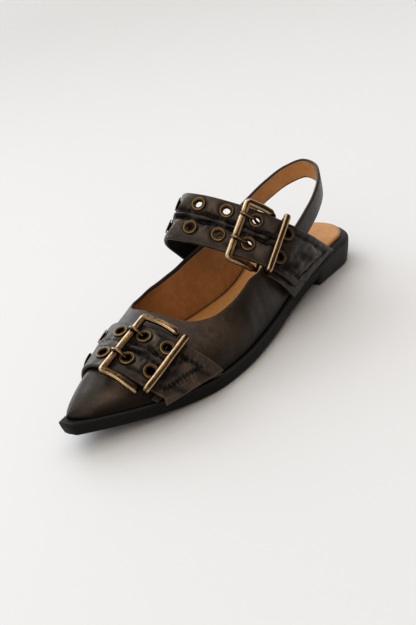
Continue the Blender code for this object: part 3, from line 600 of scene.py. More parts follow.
def group(name, inputs, outputs):
    """Empty shader group with a vector, numbers with their usual values, and numbers given out."""
    tree = bpy.data.node_groups.new(name, "ShaderNodeTree")
    tree.interface.new_socket(name="Vector", in_out="INPUT", socket_type="NodeSocketVector")
    for label, usual in inputs.items():
        socket = tree.interface.new_socket(name=label, in_out="INPUT", socket_type="NodeSocketFloat")
        socket.default_value = usual
    for label in outputs:
        tree.interface.new_socket(name=label, in_out="OUTPUT", socket_type="NodeSocketFloat")
    return tree, tree.nodes.new("NodeGroupInput").outputs, tree.nodes.new("NodeGroupOutput")


def use_group(tree, made, **values):
    """Places a group in a tree; gives its outputs."""
    node = tree.nodes.new("ShaderNodeGroup")
    node.node_tree = made
    return dress(tree, node, **values).outputs


def reckoned(tree, operation, *values):
    """Result of one operation on numbers or outputs."""
    node = tree.nodes.new("ShaderNodeMath")
    node.operation = operation
    for socket, value in zip(node.inputs, values):
        put(tree, socket, value)
    return node.outputs[0]


def times(tree, a, b):
    """Product of two."""
    return reckoned(tree, "MULTIPLY", a, b)


def times_plus(tree, a, b, c):
    """Product of two, plus a third."""
    return reckoned(tree, "MULTIPLY_ADD", a, b, c)


def noise(tree, vector, scale, detail=3.0, rough=0.5):
    """Cloudy noise about one half."""
    node = added(tree, "TexNoise", Vector=vector, Scale=scale, Detail=detail, Roughness=rough)
    return node.outputs["Fac"]


def ranged(tree, value, low, high, to_low=0.0, to_high=1.0):
    """Soft step of a value from one range to another."""
    node = added(tree, "MapRange", Value=value, From_Min=low, From_Max=high, To_Min=to_low, To_Max=to_high)
    node.interpolation_type = "SMOOTHSTEP"
    return node.outputs["Result"]


def blended(tree, factor, a, b):
    """Colour between two colours."""
    node = tree.nodes.new("ShaderNodeMix")
    node.data_type = "RGBA"
    for number, value in ((0, factor), (6, a), (7, b)):
        put(tree, node.inputs[number], value)
    return node.outputs[2]


def darker(tone, share):
    """Share of a colour."""
    return tuple(share * c for c in tone)


def grain_group():
    """Leather grain: small cells with soft hollows between them, and slower pulls through them."""
    tree, given, out = group("leather_grain", {"Scale": 1500.0, "Pull": 0.4}, ("Height", "Pores"))
    cells = added(tree, "TexVoronoi", Vector=given["Vector"], Scale=given["Scale"])
    cells.feature = "SMOOTH_F1"
    pores = ranged(tree, cells.outputs["Distance"], 0.15, 0.62, 1.0, 0.0)
    pulls = noise(tree, given["Vector"], times(tree, given["Scale"], 0.16), 4.0, 0.6)
    dress(tree, out, Height=times_plus(tree, pulls, given["Pull"], pores), Pores=pores)
    return tree


def mottle_group():
    """Uneven dye: broad and middling clouds joined into one mask."""
    tree, given, out = group("uneven_dye", {"Scale": 40.0}, ("Mask",))
    broad = noise(tree, given["Vector"], given["Scale"], 2.0, 0.5)
    middling = noise(tree, given["Vector"], times(tree, given["Scale"], 7.0), 4.0, 0.65)
    both = times_plus(tree, middling, 0.45, times(tree, broad, 0.55))
    dress(tree, out, Mask=ranged(tree, both, 0.36, 0.64))
    return tree


GRAIN = grain_group()
DYE = mottle_group()
LEATHER_GLOSS = (1.0, 0.88, 0.78)
LINING_GLOSS = (1.0, 0.9, 0.8)
# Rubber tones: near black, a slightly lighter black, and a paler tone painted on as light and highlight.
RUBBER_TONES = ((0.0035, 0.0035, 0.0036), (0.0075, 0.0073, 0.0072), (0.045, 0.044, 0.043))


def start_material(name):
    """New material with its tree, its shader and its ways of placing a texture."""
    mat = bpy.data.materials.new(name)
    mat.use_nodes = True
    tree = mat.node_tree
    return mat, tree, tree.nodes["Principled BSDF"], tree.nodes.new("ShaderNodeTexCoord").outputs


def bumped(tree, shader, height, strength, distance):
    """Turns a height into a shader's normal."""
    node = added(tree, "Bump", Strength=strength, Distance=distance, Height=height)
    put(tree, shader.inputs["Normal"], node.outputs["Normal"])


def wear_and_light_mask(tree):
    """The value of each point for wear and for painted light and shade."""
    node = tree.nodes.new("ShaderNodeAttribute")
    node.attribute_name = "wear_and_light"
    return node.outputs["Fac"]


def leather(name, tones, rough, grain, depth, dye=38.0, wrinkle=2.0, shine=0.3, gloss_tone=LEATHER_GLOSS):
    """Dyed leather: a deep and a warm tone by uneven dye, paler on rubbed edges and as painted highlight on
    ridges, and darker as painted shade in hollows, with fine grain and slower wrinkles in the gloss."""
    deep, warm, rubbed_and_lit = tones
    mat, tree, shader, coordinates = start_material(name)
    where, wear_and_light = coordinates["Object"], wear_and_light_mask(tree)
    clouds = use_group(tree, DYE, Vector=where, Scale=dye)["Mask"]
    hide = use_group(tree, GRAIN, Vector=where, Scale=grain, Pull=wrinkle)
    tone = blended(tree, times(tree, clouds, 0.8), deep, warm)
    # Paler tone where the value is above nought: rubbed edges, and painted highlights and sheen.
    tone = blended(tree, times(tree, wear_and_light, ranged(tree, clouds, 0.1, 0.9, 0.5, 1.0)), tone, rubbed_and_lit)
    # Painted shade: where the value is below nought the tone darkens to a near-black share of the deep
    # tone.
    tone = blended(tree, times(tree, wear_and_light, -1.0), tone, darker(deep, 0.12))
    hollow = times(tree, reckoned(tree, "SUBTRACT", 1.0, hide["Pores"]), 0.22)
    tone = blended(tree, hollow, tone, darker(deep, 0.35))
    gloss = times_plus(tree, clouds, -0.1, rough + 0.05)
    gloss = times_plus(tree, hide["Pores"], -0.06, gloss)
    glint = ranged(tree, wear_and_light, -0.9, 0.1, 0.4 * shine, shine)
    dress(tree, shader, Base_Color=tone, Roughness=gloss, Specular_IOR_Level=glint,
          Specular_Tint=gloss_tone)
    bumped(tree, shader, hide["Height"], 0.5, depth)
    return mat


def rubber(name):
    """Moulded black rubber: near black, painted paler as light on the heel side and as highlight on the top
    ledge, with fine pitting.
    """
    mat, tree, shader, coordinates = start_material(name)
    clouds = use_group(tree, DYE, Vector=coordinates["Object"], Scale=55.0)["Mask"]
    pits = noise(tree, coordinates["Object"], 2600.0, 3.0, 0.6)
    rub_and_light = times(tree, wear_and_light_mask(tree), ranged(tree, clouds, 0.1, 0.9, 0.65, 0.9))
    tone = blended(tree, rub_and_light, blended(tree, clouds, *RUBBER_TONES[:2]), RUBBER_TONES[2])
    rough = times_plus(tree, clouds, 0.12, 0.52)
    dress(tree, shader, Base_Color=tone, Roughness=rough, Specular_IOR_Level=0.16)
    bumped(tree, shader, pits, 0.35, 0.00012)
    return mat


def brass(name, dark, middle, bright, rough, streak):
    """Aged brass: dark patina in spots and drawn lines, brown metal, bare bright metal where rubbed and as
    painted highlight, and painted shade in hollows and on undersides; fine drawn lines run along the flat
    map."""
    mat, tree, shader, coordinates = start_material(name)
    where, wear_and_light = coordinates["Object"], wear_and_light_mask(tree)
    clouds = use_group(tree, DYE, Vector=where, Scale=140.0)["Mask"]
    spots = noise(tree, where, 1900.0, 3.0, 0.7)
    drawn = added(tree, "Mapping", Vector=coordinates["UV"], Scale=streak)
    lines = noise(tree, drawn.outputs["Vector"], 1.0, 3.0, 0.6)
    patina = ranged(tree, times_plus(tree, spots, 0.6, times(tree, lines, 0.5)), 0.48, 0.60)
    tone = blended(tree, times(tree, clouds, 0.3), middle, bright)
    tone = blended(tree, times(tree, patina, 0.92), tone, dark)
    tone = blended(tree, times(tree, wear_and_light, ranged(tree, lines, 0.3, 0.6, 0.35, 1.0)), tone, bright)
    # Painted shade: where the value is below nought the metal darkens to the dark tone.
    tone = blended(tree, times(tree, wear_and_light, -0.9), tone, dark)
    dress(tree, shader, Base_Color=tone, Metallic=1.0, Roughness=times_plus(tree, patina, 0.2, rough))
    bumped(tree, shader, times_plus(tree, lines, 0.6, spots), 0.35, 0.00012)
    return mat


def thread(name, tone):
    """Sewing thread: dark twist with fine strands."""
    mat, tree, shader, coordinates = start_material(name)
    strands = noise(tree, coordinates["Object"], 4200.0, 2.0, 0.5)
    dress(tree, shader, Base_Color=blended(tree, strands, darker(tone, 0.5), tone), Roughness=0.6)
    bumped(tree, shader, strands, 0.5, 0.00008)
    return mat


UPPER_LEATHER = leather(
    "upper_satin_leather", ((0.0088, 0.0066, 0.005), (0.028, 0.0182, 0.012), (0.1, 0.071, 0.052)),
    0.36, 1700.0, 0.00010, shine=0.34)
EDGE_PAINT = leather(
    "painted_leather_edge", ((0.010, 0.0088, 0.008), (0.018, 0.014, 0.012), (0.06, 0.05, 0.044)),
    0.5, 1900.0, 0.00006)
LINING = leather(
    "caramel_lining", ((0.41, 0.19, 0.066), (0.56, 0.29, 0.112), (0.66, 0.38, 0.18)),
    0.5, 1400.0, 0.00007, dye=26.0, gloss_tone=LINING_GLOSS)
# The sock leather's third tone is dark: painted shade along the rim where the insole meets the wall.
SOCK = leather(
    "tan_sock_leather", ((0.54, 0.26, 0.082), (0.65, 0.335, 0.112), (0.2, 0.085, 0.028)),
    0.52, 1400.0, 0.00007, dye=24.0, gloss_tone=LINING_GLOSS)
STRAP_LEATHER = leather(
    "strap_satin_leather", ((0.0095, 0.0077, 0.0066), (0.039, 0.0272, 0.0195), (0.105, 0.075, 0.055)),
    0.35, 1500.0, 0.00016, dye=85.0, wrinkle=3.0, shine=0.36)
STRAP_BACK = leather(
    "strap_back_leather", ((0.007, 0.006, 0.0055), (0.012, 0.0095, 0.008), (0.03, 0.024, 0.02)),
    0.6, 1500.0, 0.00008)
RUBBER = rubber("moulded_black_rubber")
BRASS = brass(
    "antique_brass", (0.018, 0.0095, 0.0036), (0.2, 0.112, 0.04), (0.95, 0.72, 0.46),
    0.15, (90.0, 1500.0, 1.0))
EYELET_BRASS = brass(
    "aged_eyelet_brass", (0.016, 0.0105, 0.005), (0.098, 0.06, 0.0225), (0.34, 0.222, 0.096),
    0.32, (120.0, 700.0, 1.0))
THREAD = thread("dark_thread", (0.012, 0.009, 0.008))


# Sole and insole


FLAT_LID = np.linspace(0, 1, 5)
SOLE_SHARES = np.concatenate([[0, 0.03, 0.06], np.linspace(0.075, 0.925, 31), [0.94, 0.97, 1]])
INSOLE_SHARES = np.concatenate([[0, 0.01, 0.03], np.linspace(0.06, 0.94, 23), [0.97, 0.99, 1]])
RIB_PITCH = 4.0 * MM
RIB_DEPTH = 0.7 * MM
CUSHION = 0.5 * MM


def stations(end, count):
    """Stations from the heel back to an end: close round the heel and a pair at the heel breast."""
    turn = np.linspace(0, math.pi / 2, 40)
    heel = HEEL_ROUND * (1 - np.cos(turn))
    breast = np.concatenate([np.linspace(HEEL_ROUND, HEEL_BREAST - BREAST_RUN, 14)[1:], [HEEL_BREAST]])
    rest = np.linspace(HEEL_BREAST, end, count)[1:]
    return np.concatenate([heel, breast, rest])


def eased(rows, share, steps):
    """Rows of a profile with every inner corner turned on a short curve."""
    values = np.array(rows, float)
    made = [values[:1]]
    t = np.linspace(0, 1, steps)[:, None]
    for before, at, after in zip(values, values[1:], values[2:]):
        made.append(bent(at + (before - at) * share, at, at + (after - at) * share, t))
    return np.concatenate(made + [values[-1:]])


def rim_distance(outer, inner, shares):
    """Distance of a closing sheet's points from the nearer side of its loop."""
    return np.minimum(shares, 1 - shares)[None] * np.linalg.norm(outer - inner, axis=1)[:, None]


def cap(ring, us, shares=FLAT_LID, height=None):
    """Closing sheet of a loop: each station's outer and inner point joined by a straight line, raised by a
    height that depends on the distance from the loop."""
    number = np.arange(len(us))
    outer, inner = ring[number], ring[-number]
    points = outer[:, None] * (1 - shares)[None, :, None] + inner[:, None] * shares[None, :, None]
    if height:
        points[..., 2] += height(rim_distance(outer, inner, shares), us[:, None])
    return points


def tread(far, u):
    """Depth of the ribs pressed into the tread under heel and forefoot, inside a plain border."""
    ends = fade(u, (6 * MM, 7.5 * MM)) * (1 - fade(u, (258 * MM, 259.5 * MM)))
    breast = 1 - fade(u, (50 * MM, 51 * MM)) + fade(u, (66 * MM, 67.5 * MM))
    ribs = 0.5 + 0.5 * np.tanh(6 * (np.sin(u / RIB_PITCH * 2 * math.pi) + 0.2))
    return RIB_DEPTH * fade(far, (5 * MM, 5.8 * MM)) * ends * breast * ribs


def cushion(far, u):
    """Soft rise of the insole away from its rim and from the heel back."""
    return CUSHION * fade(far, (0, 9 * MM)) * fade(u, (0, 14 * MM))


def make_sole():
    """Unit sole: the outline carried up a profile of insets and heights, with ribs in its tread."""
    us = stations(SOLE_LENGTH, 130)
    rings, wear_and_light = [], []
    u_all = np.concatenate([us, us[:0:-1]])
    taper = SIDE_TAPER + (HEEL_TAPER - SIDE_TAPER) * (1 - fade(u_all, (HEEL_BREAST, 100 * MM)))
    # Painted light: the sole is painted paler towards the heel.
    heel_painted_light = 0.8 * (1 - fade(u_all, (45 * MM, 75 * MM)))
    for inset, share, height, rise, rim_share in eased(SOLE_RINGS, 0.3, 5):
        loop, u = outline(us, inset * MM + share * taper)
        low, high = sole_bottom(u), sole_top(loop[:, 1])
        z = low + height * (high - low) + rise * MM + rim_share * rim(u)
        rings.append(place(loop[:, 0], loop[:, 1], z))
        # Painted highlight along the top ledge.
        rubbed_and_lit = 0.55 * math.exp(-(inset - 0.5) ** 2 / 0.3) * float(height > 0.9)
        wear_and_light.append(np.maximum(heel_painted_light, rubbed_and_lit))
    made = Build()
    made.grid(np.array(rings), wrap=True, value=np.array(wear_and_light))
    made.grid(cap(rings[0], us, SOLE_SHARES, tread))
    made.grid(cap(rings[-1], us))
    made.piece("rubber_unit_sole", [RUBBER], ("unit_sole",))


def make_insole():
    """Sock insole: the outline moved in and carried up a round edge, its top slightly cushioned."""
    us = stations(INSOLE_END, 120)
    profile = [(0.5, 0.0), (0.1, 0.12)]
    for t in np.linspace(0, math.pi / 2, 6):
        profile.append((0.9 - 0.9 * math.cos(t), 0.55 + 0.45 * math.sin(t)))
    u_all = np.concatenate([us, us[:0:-1]])
    base = INSOLE_INSET_HEEL + (INSOLE_INSET_TOE - INSOLE_INSET_HEEL) * fade(u_all, RIM_FADE)
    rings = []
    for inset, height in profile:
        loop, u = outline(us, base + inset * MM)
        z = sole_top(loop[:, 1]) + rim(u) + GAP + height * INSOLE_THICK
        rings.append(place(loop[:, 0], loop[:, 1], z))
    made = Build()
    # Painted shade: the round edge, and a band of the top within 2.2 mm of it, take the sock's dark tone.
    made.grid(np.array(rings), wrap=True, value=0.8)
    top = cap(rings[-1], us, INSOLE_SHARES, cushion)
    far = rim_distance(top[:, 0], top[:, -1], INSOLE_SHARES)
    made.grid(top, value=0.75 * (1 - fade(far, (0, 2.2 * MM))))
    made.grid(cap(rings[0], us))
    made.piece("sock_insole", [SOCK], ("insole",))


# Upper


# Station from which the inner face is shorter than the outer one, and the arc from crest to feather edge
FORE = 225 * MM
ARC_SPAN = 52
TOPLINE_COLUMNS = 112
VAMP_COLUMNS = 95

# Shares of the way up the wall: even rows, then a few close to the topline that take the painted edge
EDGE_ROWS = (0.97, 0.985, 1.0)
WALL_ROWS = np.concatenate([np.linspace(0, 0.955, 42), EDGE_ROWS])


def upper_columns(side):
    """Foot, top and share of the wall's columns: a smooth run through the topline table, then the vamp."""
    rows = np.array(TOPLINE[side], float)
    steps = dict(zip(("foot", "top", "share"), rows.T), station=np.arange(len(rows), dtype=float))
    at = np.linspace(0, len(rows) - 1, TOPLINE_COLUMNS)
    ahead = np.sin(np.linspace(0, math.pi / 2, VAMP_COLUMNS + 1)[1:])
    tip = UPPER_TIP / MM
    foot, top = (np.concatenate([smooth(steps, k, at), end + (tip - end) * ahead])
                 for k, end in zip(("foot", "top"), rows[-1]))
    share = np.concatenate([np.minimum(smooth(steps, "share", at), 1.0), np.ones(len(ahead))])
    return foot * MM, top * MM, share


def upper_sheet(side, shrink):
    """One half of the last's surface between the feather edge and the topline, with its creases."""
    foot, top, share = upper_columns(side)
    u = foot[:, None] + (top - foot)[:, None] * WALL_ROWS
    shorter = (UPPER_TIP - TIP_SHRINK * shrink - FORE) / (UPPER_TIP - FORE)
    u = np.where(u > FORE, FORE + (u - FORE) * shorter, u)
    phi = share[:, None] * WALL_ROWS * math.pi / 2
    out = -1 if side == "medial" else 1
    arc = out * (1 - phi / (math.pi / 2)) * ARC_SPAN
    hold = fade(WALL_ROWS, (0.02, 0.15)) * (1 - fade(u, (250 * MM, 262 * MM)))
    ripple = 0.10 * np.sin(u / MM * 0.31 + arc * 0.17) * np.sin(arc * 0.11 + 1.3)
    height = (creases(UPPER_CREASES, u / MM, arc) + ripple) * MM * hold * out
    return lifted(section(side, u, phi, shrink), height), u / MM, arc


def painted_sheen(u, arc):
    """Painted sheen of the upper: paler soft patches on the vamp's crest, the toe and the quarter."""
    total = np.zeros(u.shape)
    for at_u, at_arc, long, wide, much in PAINTED_SHEEN:
        total = total + much * np.exp(-((u - at_u) / long) ** 2 - ((arc - at_arc) / wide) ** 2)
    return total


def make_upper():
    """Upper: an outer and an inner sheet with round edges along the topline and the two rear edges."""
    made = Build()
    count, edge_rows = TOPLINE_COLUMNS, len(EDGE_ROWS)
    turn = np.linspace(0, math.pi, 9)
    for side in ("lateral", "medial"):
        outer, u, arc = upper_sheet(side, 0.0)
        inner = upper_sheet(side, WALL)[0]
        far = np.linalg.norm(outer - outer[:, -1:], axis=-1)
        low = np.linalg.norm(outer - outer[:, :1], axis=-1)
        open_top = (np.arange(len(outer)) < count)[:, None]
        # Paler along the open topline edge; the sheen patches are painted sheen; the wall darkens towards
        # the sole as painted shade.
        rub_and_light = np.where(open_top, 0.55 * np.exp(-far / (1.3 * MM)), 0.0)
        rub_and_light = rub_and_light + painted_sheen(u, arc) - 0.9 * np.exp(-low / (7 * MM))
        made.grid(outer, 0, value=rub_and_light)
        lining = inner[:, :-edge_rows]
        made.grid(lining, 2, value=np.exp(-np.linalg.norm(lining - lining[:, -1:], axis=-1) / MM))
        rim_strip = inner[:, -edge_rows - 1:]
        made.grid(rim_strip[:count], 1)
        made.grid(rim_strip[count - 1:], 2)
        ahead = unit(outer[:, -1] - outer[:, -edge_rows - 1])
        behind = unit(outer[0] - outer[2])
        ahead[0] = behind[-1] = unit(ahead[0] + behind[-1])
        for face, back, away in ((outer[:count, -1], inner[:count, -1], ahead[:count]),
                                 (outer[0], inner[0], behind)):
            middle, reach = (face + back) / 2, (face - back) / 2
            size = np.linalg.norm(reach, axis=-1, keepdims=True)
            roll = middle + np.cos(turn)[:, None, None] * reach + np.sin(turn)[:, None, None] * away * size
            made.grid(roll, 1, value=0.35)
        made.grid(np.stack([outer[:, 0], inner[:, 0]]), 0)
    made.piece("leather_upper", [UPPER_LEATHER, EDGE_PAINT, LINING], ("upper",))


# Straps


WIDTH_LINES = 27
TURN_STEPS = 120
LEG_STEPS = 200


class Band:
    """A strap's outer face: points by length along it (growing outwards to the lateral side) and distance
    across it (growing to the heel), with a height square to it."""

    def __init__(self, lines, across, zero, step=0.5 * MM):
        length = np.array([run_of(line) for line in lines])
        along = length - length[:, zero:zero + 1]
        self.first, self.last = along[:, 0], along[:, -1]
        self.across, self.step = across, step
        self.origin = along.min()
        self.along = np.arange(self.origin, along.max() + step, step)
        grid = []
        for line, run in zip(lines, along):
            inner = sampled(line, run, self.along)
            head = unit(line[0] - line[1]) * np.maximum(run[0] - self.along, 0)[:, None]
            tail = unit(line[-1] - line[-2]) * np.maximum(self.along - run[-1], 0)[:, None]
            grid.append(inner + head + tail)
        self.grid = np.array(grid)
        run = np.gradient(self.grid, step, axis=1)
        wide = np.gradient(self.grid, across, axis=0)
        self.normal = unit(np.cross(run, wide))

    def look_up(self, values, s, w):
        """Values between the grid's points, by straight shares both ways."""
        s, w = np.broadcast_arrays(np.asarray(s, float), np.asarray(w, float))
        i = np.clip((s - self.origin) / self.step, 0, len(self.along) - 1.001)
        j = (w - self.across[0]) / (self.across[1] - self.across[0])
        i0, j0 = i.astype(int), np.clip(j, 0, len(self.across) - 2).astype(int)
        fi, fj = (i - i0)[..., None], (j - j0)[..., None]
        near = values[j0, i0] * (1 - fi) + values[j0, i0 + 1] * fi
        far = values[j0 + 1, i0] * (1 - fi) + values[j0 + 1, i0 + 1] * fi
        return near * (1 - fj) + far * fj

    def up(self, s, w):
        """Direction square to the face."""
        return unit(self.look_up(self.normal, s, w))

    def at(self, s, w, h=0.0):
        """Points at a height over the face."""
        return self.look_up(self.grid, s, w) + self.up(s, w) * np.asarray(h, float)[..., None]

    def frame(self, s, w):
        """Origin, direction along, direction across and normal at one point."""
        centre, normal = self.at(s, w), self.up(s, w)
        along = unit(self.at(s + self.step, w) - self.at(s - self.step, w))
        wide = unit(np.cross(normal, along))
        return centre, np.cross(wide, normal), wide, normal

    def ends(self, w):
        """Lengths at which the strap begins and ends."""
        return np.interp(w, self.across, self.first), np.interp(w, self.across, self.last)


def toe_band():
    """The toe strap's face: the last's own section lifted off it and let down a little past the sole."""
    across = np.linspace(-TOE_WIDTH["front"], TOE_WIDTH["rear"], WIDTH_LINES) * MM
    turn = np.linspace(-1, 1, 2 * TURN_STEPS + 1)
    lift = smooth(TOE_PATH, "lift", turn) + STRAP_THICK
    lines, normals = [], []
    for w in across:
        u = smooth(TOE_PATH, "centre", turn) - w * TOE_SPAN * smooth(TOE_PATH, "spread", turn)
        phi = (1 - np.abs(turn)) * math.pi / 2
        base = np.where((turn < 0)[:, None], section("medial", u, phi), section("lateral", u, phi))
        slope = np.gradient(base[:, [0, 2]], axis=0)
        normal = unit(np.stack([-slope[:, 1], 0 * turn, slope[:, 0]], -1))
        lines.append(base + normal * lift[:, None])
        normals.append(normal)
    lines, normals = np.array(lines), np.array(normals)
    share = np.linspace(0, 1, len(across))[:, None, None]
    straight = lines[0] * (1 - share) + lines[-1] * share
    crown = np.max(np.sum((lines - straight) * normals, -1), axis=0)
    lines = straight + normals[len(across) // 2] * crown[:, None]
    drop = np.array([0, 0, -TOE_DROP])
    lines = np.concatenate([lines[:, :1] + drop, lines, lines[:, -1:] + drop], 1)
    band = Band(lines, across, TURN_STEPS + 1)
    band.base = band.last - TOE_DROP + TOE_BASE_SHOWS
    band.first = band.first + TOE_DROP - TOE_END["medial"] * MM
    band.last = np.interp(across, across[[0, -1]], np.array([TOE_END["front"], TOE_END["rear"]]) * MM)
    return band


def through(rows, steps):
    """Even samples of a smooth curve through rows, spaced by the chord between them, as columns."""
    rows = np.array(rows, float)
    chord = run_of(rows[:, :3])
    spans = [np.linspace(a, b, steps, endpoint=False) for a, b in zip(chord, chord[1:])]
    at = np.concatenate(spans + [[chord[-1]]])
    return [smooth({"station": chord, "value": column}, "value", at) for column in rows.T]


def cut_level(leg, y):
    """Height at which a leg of the instep strap is cut: a straight fall from the heel to the waist."""
    rear, front = (place(0, u * MM, z * MM) for u, z in INSTEP_CUT[leg])
    return front[2] + (y - front[1]) * (rear[2] - front[2]) / (rear[1] - front[1])


def cut_leg(run, leg):
    """Half of a width line from the middle to its foot, stopped at the cut or carried on to it."""
    high = run[:, 2] - cut_level(leg, run[:, 1])
    low = np.argmax(high < 0)
    if low:
        t = high[low - 1] / (high[low - 1] - high[low])
        stop = run[low - 1] + t * (run[low] - run[low - 1])
        keep = np.concatenate([run[:low], [stop]])
    else:
        heading = unit(run[-1] - run[-2])
        keep = np.concatenate([run, [run[-1] + heading * high[-1] / max(-heading[2], 0.2)]])
    length = run_of(keep)
    return sampled(keep, length, np.linspace(0, 1, LEG_STEPS + 1) * length[-1])


def tucked(points, zero):
    """Legs of the instep strap drawn in over the sole's edge, more and more towards their feet."""
    origin = place(0, 0, 0)
    beside = edge("medial", origin[1] - points[..., 1]) - STRAP_THICK + TUCK_INSIDE + origin[0]
    pull = 1 - fade(points[..., 2], INSTEP_TUCK)
    inward = np.where(np.arange(points.shape[1]) < zero, beside - points[..., 0], -OUTER_TUCK)
    moved = points.copy()
    moved[..., 0] += inward * pull
    return moved


def instep_band():
    """The instep strap's face: straight width lines along a smooth path, cut level with the sole."""
    x, u, z, yaw, spread = through(INSTEP_PATH, PATH_STEPS)
    across = np.linspace(-INSTEP_WIDTH["front"], INSTEP_WIDTH["rear"], WIDTH_LINES) * MM
    yaw = np.radians(yaw)
    back = np.cos(yaw)
    wide = np.stack([np.sin(yaw), math.cos(INSTEP_LEAN) * back, math.sin(INSTEP_LEAN) * back], -1)
    wide = wide * spread[:, None]
    centre = place(x * MM, u * MM, z * MM)
    zero = INSTEP_ZERO * PATH_STEPS
    lines = tucked(np.array([centre + wide * w for w in across]), zero)
    cut = [np.concatenate([cut_leg(line[zero::-1], "inner")[:0:-1], cut_leg(line[zero:], "outer")])
           for line in lines]
    band = Band(np.array(cut), across, LEG_STEPS)
    band.base = band.last + np.interp(across, across[[0, -1]], np.array(INSTEP_BASE_SHOWS) * MM)
    return band


EDGE_STEPS = np.array([0, 0.03, 0.09, 0.18, 0.3, 0.45, 0.62, 0.8, 1.0])
HOLE_STEPS = np.array([0, 0.04, 0.12, 0.24, 0.38, 0.55, 0.76, 1.0])
CELL_STEPS = 14


def hole_cell():
    """Rings of a cell about its hole's middle, from the hole's circle to the cell's square."""
    side = np.linspace(-HOLE_CELL, HOLE_CELL, CELL_STEPS + 1)[:-1]
    rim_line = np.full(CELL_STEPS, HOLE_CELL)
    corners = ((side, -rim_line), (rim_line, side), (-side, rim_line), (-rim_line, -side))
    square = np.concatenate([np.stack(pair, -1) for pair in corners])
    ring = unit(square) * HOLE_RADIUS
    return ring + (square - ring) * HOLE_STEPS[:, None, None]


def strap_net(band, eyelets, lead_steps, tail_steps):
    """Parameter net of a strap: rectangles between the hole cells, and in each cell rings that change from
    the hole's circle to the cell's square. Gives length, width and the quads."""
    cell, half = HOLE_CELL, eyelets["row"] * MM
    low, high = band.across[0], band.across[-1]
    rows = [low + (-half - cell - low) * EDGE_STEPS, np.linspace(-half - cell, cell - half, CELL_STEPS + 1),
            np.linspace(cell - half, half - cell, 15),
            np.linspace(half - cell, half + cell, CELL_STEPS + 1),
            (high + (half + cell - high) * EDGE_STEPS)[::-1]]
    spots = np.array(eyelets["along"]) * MM
    begin, end = spots[0] - cell, spots[-1] + cell
    lead, tail = (np.concatenate([EDGE_STEPS * 0.10, np.linspace(0.10, 1.0, steps)[1:]])
                  for steps in (lead_steps, tail_steps))
    columns = [("lead", lead)]
    for k, s in enumerate(spots):
        if k:
            columns.append(("plain", np.linspace(spots[k - 1] + cell, s - cell, 7)))
        columns.append(("cell", np.linspace(s - cell, s + cell, CELL_STEPS + 1)))
    columns.append(("tail", 1 - tail[::-1]))
    spot = hole_cell()
    lengths, widths, quads, count = [], [], [], 0
    for kind, steps in columns:
        for number, row in enumerate(rows):
            s, w = np.meshgrid(steps, row, indexing="ij")
            first, last = band.ends(w)
            holed = kind == "cell" and number in (1, 3)
            if holed:
                s, w = (steps[0] + steps[-1]) / 2 + spot[..., 0], (row[0] + row[-1]) / 2 + spot[..., 1]
            elif kind == "lead":
                s = first + (begin - first) * s
            elif kind == "tail":
                s = end + (last - end) * s
            lengths.append(s.reshape(-1))
            widths.append(w.reshape(-1))
            quads.append(grid_quads(*s.shape, count, holed))
            count += s.size
    return np.concatenate(lengths), np.concatenate(widths), np.concatenate(quads)


def rolled(far, radius):
    """Fall of a sheet towards a round edge: a quarter circle over the last stretch of one radius."""
    near = np.minimum(np.maximum(far, 0), radius)
    return radius - np.sqrt(np.maximum(radius**2 - (radius - near) ** 2, 0))


